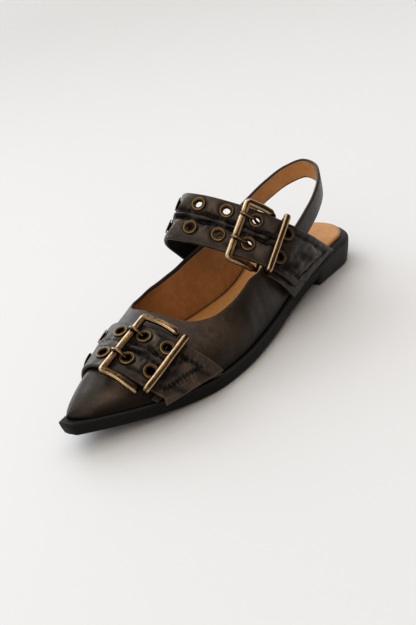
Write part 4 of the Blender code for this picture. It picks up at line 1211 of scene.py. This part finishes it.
def strap_relief(s, w, shape, far, end_far, hole_far):
    """Face of a padded strap: two puckered sewn rows with a roll between them and a soft band outside each,
    a sewn padded base, listed creases, hollows under the bars and a flat seat round every eyelet.
    Gives the height in metres and a value that is above nought for paler edges and painted highlights, and
    below nought for painted shade in seams, creases and hollows; the base is painted lighter or darker as a
    whole."""
    a, b = s / MM, w / MM
    keeper, bar = shape["keeper"], shape["bar"]
    side = np.abs(b) - SEAM_ROW
    quilted = shape["inner"] + (1 - shape["inner"]) * fade(a, (bar - 9, bar + 2))
    quilted = quilted * (1 - fade(a, (keeper + 1, keeper + 6)))
    wander = 1.1 * np.sin(a * 0.37) + 0.9 * np.sin(a * 0.83 + 1.1) + 0.8 * np.sign(b)
    pulls = np.cos((a + wander) * 2 * math.pi / PUCKER_PITCH) * (0.3 + 0.7 * fade(a, (-46, -30)))
    valley = np.exp(-(side / PUCKER_WIDTH) ** 2) * (PUCKER_DEPTH + PUCKER_PULL * pulls) * quilted
    gather = GATHER_HEIGHT * pulls * np.exp(-((side - GATHER_AWAY) / GATHER_WIDTH) ** 2) * quilted
    roll = ROLL_HEIGHT * np.cos(np.clip(b / SEAM_ROW, -1, 1) * math.pi / 2) ** 2 * quilted
    outside = np.clip(side / (shape["half"] - SEAM_ROW), 0, 1)
    bands = BAND_HEIGHT * np.sin(outside * math.pi) ** 1.3 * quilted
    ripple = 0.12 * np.sin(a * 0.52 + b * 0.61) + 0.10 * np.sin(a * 0.93 - b * 0.42 + 0.8)
    front, rear, from_end = shape["box"]
    line = np.minimum(np.minimum(b - front, rear - b), end_far / MM - from_end)
    based = fade(a, (keeper + 2, keeper + 6))
    rag = shape["rag"] * np.cos((a + b) * 2 * math.pi / RAG_PITCH)
    ragged = np.exp(-((line + rag) / shape["tear"]) ** 2) * based
    mound = BASE_HEIGHT * fade(line, (0.0, BASE_SLOPE)) * based - ragged
    folds = CREASE_GAIN * creases(shape["creases"], a, b)
    total = roll + bands + gather - valley + ripple + mound + folds
    under = np.exp(-((a - bar) / BAR_HOLLOW) ** 2) + np.exp(-((a - keeper) / KEEPER_HOLLOW) ** 2)
    total = total - np.maximum(total, 0) * np.minimum(under, 1) * 0.9
    total = total * fade(hole_far, EYELET_SEAT) * fade(far, EDGE_FALL)
    # Painted shade: seam valleys, the middle between the rows, the ragged base seam, creases and the strip
    # beside the keeper are darkened.
    shaded = 0.65 * valley + 0.22 * np.exp(-(side / 2.4) ** 2) * quilted + 1.6 * ragged
    shaded = shaded + 0.8 * np.clip(-folds / 0.8, 0, 1) + 0.5 * np.exp(-((a - keeper - 3) / 3) ** 2)
    # Painted light: the base is painted lighter or darker by its own amount and ridges are paler as painted
    # highlight; the edges are paler.
    rubbed_and_lit = shape["painted_base_light"] * based + 0.95 * np.clip(total - 0.7 * mound - 0.15, 0, 1)
    rubbed_and_lit = rubbed_and_lit + 0.5 * np.exp(-((far - 0.5 * MM) / (0.6 * MM)) ** 2)
    return total * MM, np.clip(rubbed_and_lit - shaded, -1, 1)


def strap_room(s, w, band, eyelets):
    """Distances of a strap's points from its nearest edge, from its outer end and from its nearest hole."""
    first, last = band.ends(w)
    side = np.minimum(w - band.across[0], band.across[-1] - w)
    holes = np.array([(a * MM, b * eyelets["row"] * MM) for a in eyelets["along"] for b in (-1, 1)])
    hole_far = np.min(np.hypot(s[:, None] - holes[:, 0], w[:, None] - holes[:, 1]), axis=1) - HOLE_RADIUS
    return np.minimum(side, np.minimum(s - first, last - s)), last - s, np.maximum(hole_far, 0)


def make_strap(name, node, band, eyelets, shape, steps):
    """Strap: face and back on one parameter net, both rolled to the middle of the edge."""
    s, w, quads = strap_net(band, eyelets, *steps)
    far, end_far, hole_far = strap_room(s, w, band, eyelets)
    fall = rolled(np.minimum(far, hole_far), STRAP_THICK / 2)
    bare, strap_wear_and_light = strap_relief(s, w, shape, far, end_far, hole_far)
    face = band.at(s, w, bare - fall)
    back = band.at(s, w, fall - STRAP_THICK)
    flat = np.stack([s, w], -1)
    made = Build()
    made.net(face, quads, 0, flat, strap_wear_and_light)
    made.net(back, quads[:, ::-1], 1, flat, 0.0)
    obj = made.piece(name, [STRAP_LEATHER, STRAP_BACK], (node,))

    def surface(s, w):
        return strap_relief(s, w, shape, *strap_room(s, w, band, eyelets))[0]

    return surface


def make_tab(name, node, band, tab):
    """Base layer under a strap's outer end: a plain rectangle of the strap's own net with a round edge."""
    front, rear, top = (tab[k] * MM for k in ("front", "rear", "top"))
    slope = np.polyfit(band.across, band.base, 1)
    near = EDGE_STEPS * 0.06
    steps = np.concatenate([near, np.linspace(0.06, 0.94, 30)[1:-1], 1 - near[::-1]])
    t, w = np.meshgrid(steps, front + (rear - front) * steps, indexing="ij")
    base = np.polyval(slope, w)
    s = top + (base - top) * t
    far = np.minimum(np.minimum(w - front, rear - w), np.minimum(s - top, base - s))
    fall = rolled(far, TAB_THICK / 2)
    high = -STRAP_THICK - 2 * GAP
    made = Build()
    wear_and_light = 0.6 * np.exp(-(far / (0.8 * MM)) ** 2)
    made.grid(band.at(s, w, high - fall), 0, value=wear_and_light)
    made.grid(band.at(s, w, high - TAB_THICK + fall), 0)
    made.piece(name, [STRAP_LEATHER], (node,))


# Hardware


# Rubbing and painted light of a cast bar by the height of its section: sides and underside painted dark as
# shade, the edges of the cut corners paler as wear and painted highlight, and more painted highlight on the
# side of the upper bar that faces the window.
FACET_HEIGHT = (-1.0, -0.45, 0.3, 0.45, 0.52, 0.72, 0.93, 1.0)
FACET_RUB_AND_LIGHT = (-1.0, -0.9, -0.7, -0.4, 0.5, 0.1, 0.8, -0.3)
WINDOW_FACING_HIGHLIGHT = (-1.0, -0.9, -0.7, -0.4, 0.3, 0.25, 0.95, 0.45)

# Heights of a frame's arms over the strap's face at their middle and just before they turn under it
ARM_HEIGHTS = {"toe": (1.5, -0.3), "instep": (0.3, -2.8)}

# Half sizes of the cast sections, and how their corners are cut
FRAME_WIDE = 2.2 * MM
FRAME_THICK = 1.75 * MM
FRAME_CHAMFER = (0.5, 0.55)
FRAME_CORNER = 1.9 * MM
CHAMFER_STEPS = np.array([0.0, 0.12, 0.5, 0.88, 1.0])[:, None]
KEEPER_HALF = (1.75 * MM, 2.1 * MM)
KEEPER_CORNER = 1.7 * MM
PRONG_WIDE = 1.0 * MM
PRONG_THICK = 0.75 * MM
BAR_OVER = BAR_RADIUS + 0.35 * MM
BELOW_STRAP = -STRAP_THICK - UNDER_GAP


def make_eyelets(name, prefix, band, eyelets):
    """Eyelets: one rolled profile turned about every hole's axis."""
    made = Build()
    turn, ring = circle(44)
    profile = np.array(EYELET_PROFILE + EYELET_PROFILE[:1]) * MM
    wear_and_light = np.interp(profile[:, 0] / MM, EYELET_RADIUS, EYELET_LIGHT_AND_WEAR)
    # Painted shade: all parts lower than the rolled rim, flange, barrel and the bore's foot, are darkened.
    wear_and_light = np.where(profile[:, 1] > 0.4 * MM, wear_and_light, -0.9)
    flat = np.stack(np.broadcast_arrays(turn[None] * 4 * MM, run_of(profile)[:, None]), -1)
    nodes = []
    for k, s in enumerate(eyelets["along"]):
        for label, sign in (("front", -1), ("rear", 1)):
            centre, along, wide, normal = band.frame(s * MM, sign * eyelets["row"] * MM)
            spoke = ring[:, :1] * along + ring[:, 1:] * wide
            points = centre + profile[:, :1, None] * spoke[None] + profile[:, 1:, None] * normal
            made.grid(points, wrap=True, flat=flat, value=wear_and_light[:, None])
            nodes.append(f"{prefix}_eyelet_{label}_{k + 1}")
    made.piece(name, [EYELET_BRASS], tuple(nodes))


def round_path(corners, radius, steps=9, spans=14):
    """Closed path through corners in strap coordinates, straight runs divided, each corner on a curve."""
    corners = np.array(corners, float)
    t = np.linspace(0, 1, steps)[:, None]
    path = []
    for k, corner in enumerate(corners):
        follow = corners[(k + 1) % len(corners)]
        before, after = corners[k - 1] - corner, follow - corner
        reach_in, reach_out = (min(radius, 0.45 * np.linalg.norm(v)) for v in (before, after))
        a, b = corner + unit(before) * reach_in, corner + unit(after) * reach_out
        path.append(bent(a, corner, b, t))
        stop = follow - unit(after) * reach_out
        path.append(b + (stop - b) * np.linspace(0, 1, spans + 2)[1:-1, None])
    return np.concatenate(path)


def bevelled(chamfer):
    """Outline of a flat bar's section with cut corners, in half sizes."""
    corner = []
    for sx, sy, turned_round in ((1, 1, False), (-1, 1, True), (-1, -1, False), (1, -1, True)):
        a, b = np.array([sx, sy * (1 - chamfer[1])]), np.array([sx * (1 - chamfer[0]), sy])
        if turned_round:
            a, b = b, a
        corner.append(a + (b - a) * CHAMFER_STEPS)
    return np.concatenate(corner)


def sweep(made, points, up, half_wide, half_thick, shape, closed, wear_and_light):
    """Section carried along a path, its width square to the path and to up; open ends get a lid."""
    if closed:
        heading = unit(np.roll(points, -1, 0) - np.roll(points, 1, 0))
    else:
        heading = unit(np.gradient(points, axis=0))
    side = unit(np.cross(heading, up))
    top = unit(np.cross(side, heading))
    rings = (points[:, None] + side[:, None] * half_wide[:, None, None] * shape[None, :, :1]
             + top[:, None] * half_thick[:, None, None] * shape[None, :, 1:])
    around = np.arange(len(shape)) / len(shape) * 10 * MM
    flat = np.stack(np.broadcast_arrays(run_of(points)[:, None], around[None]), -1)
    if closed:
        rings, flat, wear_and_light = (np.concatenate([rows, rows[:1]]) for rows in (rings, flat, wear_and_light))
    else:
        for ring in (rings[0], rings[-1]):
            made.grid(np.stack([np.broadcast_to(ring.mean(0), ring.shape), ring]), 0, True, None, 0.3)
    made.grid(rings, 0, True, flat, wear_and_light)


def make_frame(prefix, band, spots, row):
    """Buckle frame: a cut bar over the strap, two arms, and a round bar under the strap."""
    bar, heel = spots["bar"] * MM, spots["heel_bar"] * MM
    near, far = ((spots["middle"] + side * spots["half"]) * MM for side in (-1, 1))
    under = BELOW_STRAP - HEEL_BAR_RADIUS
    run = ((bar, BAR_OVER), (bar + 0.55 * (heel - bar), ARM_HEIGHTS[prefix][0] * MM),
           (heel - 1.2 * MM, ARM_HEIGHTS[prefix][1] * MM), (heel, under))
    corners = [(bar, near, BAR_OVER)]
    corners += [(s, far, h) for s, h in run]
    corners += [(s, near, h) for s, h in run[:0:-1]]
    path = round_path(corners, FRAME_CORNER)
    low = 1 - fade(path[:, 2], (under + 0.5 * MM, under + 2.2 * MM))
    rows = np.minimum(np.abs(path[:, 1] - row), np.abs(path[:, 1] + row))
    on_bar = 1 - fade(path[:, 0] - bar, (0.3 * MM, 1.5 * MM))
    notch = on_bar * np.exp(-(rows / (1.3 * MM)) ** 4)
    half_wide = FRAME_WIDE + (HEEL_BAR_RADIUS - FRAME_WIDE) * low - 0.12 * MM * notch
    half_thick = FRAME_THICK + (HEEL_BAR_RADIUS - FRAME_THICK) * low - 0.3 * MM * notch
    shape = bevelled(FRAME_CHAMFER)
    all_round, window = (np.interp(shape[:, 1], FACET_HEIGHT, rub_and_light) for rub_and_light in (FACET_RUB_AND_LIGHT, WINDOW_FACING_HIGHLIGHT))
    lit = on_bar[:, None] * (shape[:, 0] < 0)
    # Painted shade: the round bar under the strap and the notches under the prongs are darkened.
    wear_and_light = all_round + (window - all_round) * lit - 0.9 * np.maximum(low, notch)[:, None]
    made = Build()
    sweep(made, band.at(*path.T), band.up(path[:, 0], path[:, 1]), half_wide, half_thick, shape, True, wear_and_light)
    made.piece(prefix + "_cast_frame", [BRASS], (prefix + "_buckle_frame",))


def make_keeper(prefix, band, spots):
    """Keeper loop: a bar over the strap with grooves painted on its top as bands of light and shade, its
    underside painted dark as shade, thinner where it goes round and under it.
    """
    outer, inner = spots["keeper"] * MM, spots["keeper_near"] * MM
    top, under = KEEPER_RADIUS + KEEPER_OVER, BELOW_STRAP - KEEPER_BACK
    near, far = ((0.6 * spots["middle"] + side * spots["keeper_half"]) * MM for side in (-1, 1))
    path = round_path([(inner, near, top), (outer, far, top), (outer, far, under), (inner, near, under)],
                      KEEPER_CORNER)
    points = band.at(*path.T)
    high = fade(path[:, 2], (under + 0.5 * MM, top - 0.5 * MM))
    thick, wide = (KEEPER_BACK + (half - KEEPER_BACK) * high for half in KEEPER_HALF)
    turn, ring = circle(20)
    ring = np.sign(ring) * np.abs(ring) ** 0.8
    along = np.broadcast_to(band.frame(outer, 0.0)[1], points.shape)
    # Painted light and shade: bright and dark bands round the top stand in for grooves; the underside and
    # the run under the strap are darkened.
    painted_grooves_and_shade = np.where(ring[:, 0] < 0.3, 0.1 + 0.6 * np.cos(5 * turn), -0.9)
    wear_and_light = painted_grooves_and_shade[None, :] * high[:, None] - 0.8 * (1 - high)[:, None]
    made = Build()
    sweep(made, points, along, thick, wide, ring, True, wear_and_light)
    made.piece(prefix + "_keeper_bar", [BRASS], (prefix + "_keeper_loop",))


def make_prongs(prefix, band, spots, row):
    """Prongs: from the bar under the strap up through an eyelet pair, round tips on the frame's bar."""
    bar, heel, prong = (spots[k] * MM for k in ("bar", "heel_bar", "prong"))
    rest = BAR_OVER + 1.3 * MM + GAP + PRONG_RADIUS
    below = BELOW_STRAP - PRONG_RADIUS
    spine = {"station": np.arange(8.0)}
    spine["s"] = np.array([heel - HEEL_BAR_RADIUS - UNDER_GAP, prong + 4.5 * MM, prong + 1.8 * MM, prong,
                           prong - 1.7 * MM, bar + 2.2 * MM, bar, bar - 2.3 * MM])
    spine["h"] = np.array([below, below, below * 0.75, -1.3 * MM,
                           2.0 * MM, rest - 0.4 * MM, rest, rest - 0.5 * MM])
    at = np.concatenate([np.linspace(0, 6, 40), np.linspace(6, 7, 12)[1:]])
    s, h = smooth(spine, "s", at), smooth(spine, "h", at)
    tip = np.sqrt(np.clip(1 - np.clip((at - 6.55) / 0.46, 0, 1) ** 2, 0.02, 1))
    ring = circle(16)[1]
    above = fade(h, (0, rest))[:, None]
    # Painted light: each prong's top is paler and its underside darker, and its run under the strap is
    # darker as painted shade.
    wear_and_light = (0.5 * ring[None, :, 1] - 0.35) * above - 0.5 * (1 - above)
    made = Build()
    for w in (-row, row):
        sweep(made, band.at(s, w, h), band.up(s, w), PRONG_WIDE * tip, PRONG_THICK * tip, ring, False, wear_and_light)
    nodes = (prefix + "_prong_front", prefix + "_prong_rear")
    made.piece(prefix + "_prongs", [BRASS], nodes)


# Slingback and stitches


SLING_STEPS = 18
SLING_FACE = 18
SLING_ROUND = 7
STITCH_LENGTH = 2.3 * MM
STITCH_GAP = 1.1 * MM
STITCH_RADIUS = 0.34 * MM
STITCH_SINK = 0.08 * MM


def sling_frame():
    """Centre line of the slingback's outer face with its outward and upward directions."""
    x, u, z = through(SLING_PATH, SLING_STEPS)
    centre = place(x * MM, u * MM, z * MM)
    heading = unit(np.gradient(centre, axis=0))
    out = unit(np.cross(heading, np.array([0, 0, 1.0])))
    out = np.where(np.sum(out * (centre - centre.mean(0)), -1, keepdims=True) < 0, -out, out)
    high = unit(np.cross(out, heading))
    high = np.where(high[:, 2:] < 0, -high, high)
    return centre, out, high


def make_slingback():
    """Slingback: a flat strap with round edges carried along its path, dark outside and lined inside."""
    centre, out, high = sling_frame()
    half, radius = SLING_WIDTH / 2, SLING_THICK / 2
    turn = np.linspace(0, math.pi, SLING_ROUND + 2)[1:-1]
    face = np.linspace(-half + radius, half - radius, SLING_FACE)
    bulge = half - radius + radius * np.sin(turn)
    across = np.concatenate([face, bulge, face[::-1], -bulge])
    level = np.zeros(SLING_FACE)
    deep = np.concatenate([level, radius - radius * np.cos(turn),
                           level + SLING_THICK, radius + radius * np.cos(turn)])
    crown = 0.25 * MM * np.cos(np.clip(across / half, -1, 1) * math.pi / 2) * (deep < 0.1 * MM)
    points = centre[:, None] + high[:, None] * across[:, None] - out[:, None] * (deep - crown)[:, None]
    flat_run, round_run = SLING_FACE - 1, SLING_ROUND + 1
    finish = np.repeat([0, 1, 2, 1], [flat_run, round_run, flat_run, round_run])
    wear_and_light = 0.5 * np.exp(-((np.abs(across) - half) / (0.7 * MM)) ** 2)
    made = Build()
    made.net(points.reshape(-1, 3), grid_quads(len(points), len(across), 0, True),
             np.tile(finish, len(points) - 1), None, np.tile(wear_and_light, len(points)))
    for ring in (points[0], points[-1]):
        made.grid(np.stack([np.broadcast_to(ring.mean(0), ring.shape), ring]), 1, True)
    finishes = [STRAP_LEATHER, EDGE_PAINT, LINING]
    made.piece("leather_slingback", finishes, ("slingback_strap",))


def stitches(made, points, up):
    """Row of stitches: a path cut into even lengths, each a small capsule lying half in the leather."""
    run = run_of(points)
    reach = STITCH_LENGTH / 2
    centres = np.arange(STITCH_GAP / 2 + reach, run[-1] - reach, STITCH_LENGTH + STITCH_GAP)
    at = sampled(points, run, centres)
    heading = unit(sampled(np.gradient(points, axis=0), run, centres))
    top = unit(sampled(up, run, centres))
    side = unit(np.cross(heading, top))
    ring = circle(8)[1]
    pole = np.linspace(0, math.pi, 7)
    lie = -np.cos(pole) * reach
    girth = STITCH_RADIUS * np.sqrt(np.maximum(1 - np.cos(pole) ** 4, 0))
    bead = girth[:, None, None] * ring
    capsules = (at[:, None, None] + heading[:, None, None] * lie[:, None, None]
                + side[:, None, None] * bead[..., :1] + top[:, None, None] * bead[..., 1:])
    faces = grid_quads(len(pole), len(ring), 0, True)
    size = len(pole) * len(ring)
    quads = faces + np.arange(len(at))[:, None, None] * size
    made.net(capsules.reshape(-1, 3), quads.reshape(-1, 4))


def strap_seam(made, band, surface, corners):
    """Stitches along straight lines between strap corners in millimetres, set in the strap's face."""
    t = np.linspace(0, 1, 160)[:, None]
    corners = np.array(corners, float) * MM
    for a, b in zip(corners, corners[1:]):
        s, w = (a + (b - a) * t).T
        stitches(made, band.at(s, w, surface(s, w) - STITCH_SINK), band.up(s, w))


# Camera, floor and light

# Camera fitted to the photograph: turn, rise and roll in degrees, the point it aims at and its distance in
# millimetres, its focal length and the photograph's longer side in pixels.
CAMERA_ANGLES = (41.987, 24.980, -13.749)
CAMERA_AIM = (25.468, -36.974, 40.0)
CAMERA_FAR = 624.725
FOCAL_PIXELS = 1076.939
PHOTO_PIXELS = 625
SENSOR = 36

FLOOR_HALF = 8.0
# Floor tones near the shoe and far from it: the darkening with distance is painted falloff of light.
FLOOR_NEAR = (0.70, 0.705, 0.715)
FLOOR_FAR = (0.56, 0.56, 0.56)
WINDOW_SIDE = (-0.9, 0.3, 0.25)
ROOM_BRIGHT = (1.25, 1.29, 1.32)
ROOM_DIM = (0.27, 0.232, 0.198)
BACKDROP = (0.86, 0.85, 0.84)

# Lights: where each comes from, strength, spread in degrees and tone
LIGHTS = {
    "window_light": ((-0.83, 0.24, 0.5), 0.9, 36, (0.9, 0.96, 1.0)),
    "ceiling_light": ((0.0, 0.1, 1.0), 0.8, 64, (1.0, 0.93, 0.86)),
    "front_fill": ((0.3, -0.8, 0.6), 1.25, 60, (1.0, 0.94, 0.87)),
}


def make_camera():
    """Camera of the photograph, turned about its aim and rolled."""
    turn, rise, roll = (math.radians(angle) for angle in CAMERA_ANGLES)
    back = np.array([math.sin(turn) * math.cos(rise), -math.cos(turn) * math.cos(rise), math.sin(rise)])
    level = np.array([math.cos(turn), math.sin(turn), 0])
    upright = np.cross(back, level)
    right = math.cos(roll) * level + math.sin(roll) * upright
    up = math.cos(roll) * upright - math.sin(roll) * level
    data = bpy.data.cameras.new("photo_camera")
    data.sensor_width = SENSOR
    data.lens = FOCAL_PIXELS * SENSOR / PHOTO_PIXELS
    data.clip_start = 0.01
    data.clip_end = 100
    camera = linked("photo_camera", data)
    aim = np.array(CAMERA_AIM) * MM + np.array([SHIFT_X, 0, 0])
    turned(camera, right, up, back, aim + back * CAMERA_FAR * MM)
    bpy.context.scene.camera = camera


def make_floor():
    """Pale floor as one wide sheet, painted a little darker away from the shoe as falloff of light."""
    mat, tree, shader, coordinates = start_material("pale_floor")
    away = tree.nodes.new("ShaderNodeVectorMath")
    away.operation = "LENGTH"
    put(tree, away.inputs[0], coordinates["Object"])
    far = ranged(tree, away.outputs["Value"], 0.15, 1.6)
    dress(tree, shader, Base_Color=blended(tree, far, FLOOR_NEAR, FLOOR_FAR), Roughness=0.6)
    sheet = bpy.data.meshes.new("pale_floor")
    corners = [(x * FLOOR_HALF, y * FLOOR_HALF, 0) for x, y in ((-1, -1), (1, -1), (1, 1), (-1, 1))]
    sheet.from_pydata(corners, [], [(0, 1, 2, 3)])
    sheet.materials.append(mat)
    floor = linked("pale_floor", sheet)


def make_light(name, towards, strength, spread, tone):
    """Soft far light: parallel on the whole, from a wide round patch of sky."""
    data = bpy.data.lights.new(name, "SUN")
    data.energy = strength
    data.angle = math.radians(spread)
    data.color = tone
    back = unit(np.array(towards, float))
    right = unit(np.cross([0, 0, 1.0], back))
    turned(linked(name, data), right, np.cross(back, right), back, back)


def make_world():
    """Soft room by direction: bright and cool towards the window, dimmer and warm away from it."""
    world = bpy.data.worlds.new("soft_studio")
    world.use_nodes = True
    tree = world.node_tree
    facing = tree.nodes.new("ShaderNodeVectorMath")
    facing.operation = "DOT_PRODUCT"
    put(tree, facing.inputs[0], tree.nodes.new("ShaderNodeTexCoord").outputs["Generated"])
    put(tree, facing.inputs[1], unit(np.array(WINDOW_SIDE)))
    share = ranged(tree, facing.outputs["Value"], -0.1, 0.95)
    room = blended(tree, share, ROOM_DIM, ROOM_BRIGHT)
    seen = tree.nodes.new("ShaderNodeLightPath").outputs["Is Camera Ray"]
    dress(tree, tree.nodes["Background"], Color=blended(tree, seen, room, BACKDROP))
    bpy.context.scene.world = world


make_camera()
make_floor()
make_world()
for light_name, light in LIGHTS.items():
    make_light(light_name, *light)
bpy.context.scene.view_settings.view_transform = "Standard"
bpy.context.scene.view_settings.gamma = 0.9

make_sole()
make_insole()
make_upper()

# Straps with their fittings: steps of the net before the first and after the last eyelet, ends of the two
# sewn rows, and the corners of the seam round the base
STRAPS = {
    "toe": {"band": toe_band(), "eyelets": TOE_EYELETS, "shape": TOE_SHAPE, "steps": (26, 26),
            "tab": TOE_TAB, "buckle": TOE_BUCKLE, "rows": (-34, 38),
            "seam": ((43.5, -13.5), (47.5, -13.5), (57, 10.5), (49, 10.5))},
    "instep": {"band": instep_band(), "eyelets": INSTEP_EYELETS, "shape": INSTEP_SHAPE, "steps": (54, 40),
               "tab": INSTEP_TAB, "buckle": INSTEP_BUCKLE, "rows": (-92, 34),
               "seam": ((46, -12.5), (72, -12.5), (72, 10.5), (46, 10.5))},
}
for prefix, strap in STRAPS.items():
    strap["face"] = make_strap(f"padded_{prefix}_strap", f"{prefix}_strap", strap["band"], strap["eyelets"],
                               strap["shape"], strap["steps"])
for prefix, strap in STRAPS.items():
    make_tab(f"{prefix}_base_layer", f"{prefix}_strap_base", strap["band"], strap["tab"])
for prefix, strap in STRAPS.items():
    make_eyelets(f"{prefix}_eyelets", prefix, strap["band"], strap["eyelets"])
for prefix, strap in STRAPS.items():
    row = strap["eyelets"]["row"] * MM
    make_frame(prefix, strap["band"], strap["buckle"], row)
    make_keeper(prefix, strap["band"], strap["buckle"])
    make_prongs(prefix, strap["band"], strap["buckle"], row)
make_slingback()
for prefix, strap in STRAPS.items():
    sewn = Build()
    start, stop = strap["rows"]
    lines = [((start, w), (stop, w)) for w in (-SEAM_ROW, SEAM_ROW)]
    for corners in lines + [strap["seam"]]:
        strap_seam(sewn, strap["band"], strap["face"], corners)
    sewn.piece(f"{prefix}_strap_stitches", [THREAD])
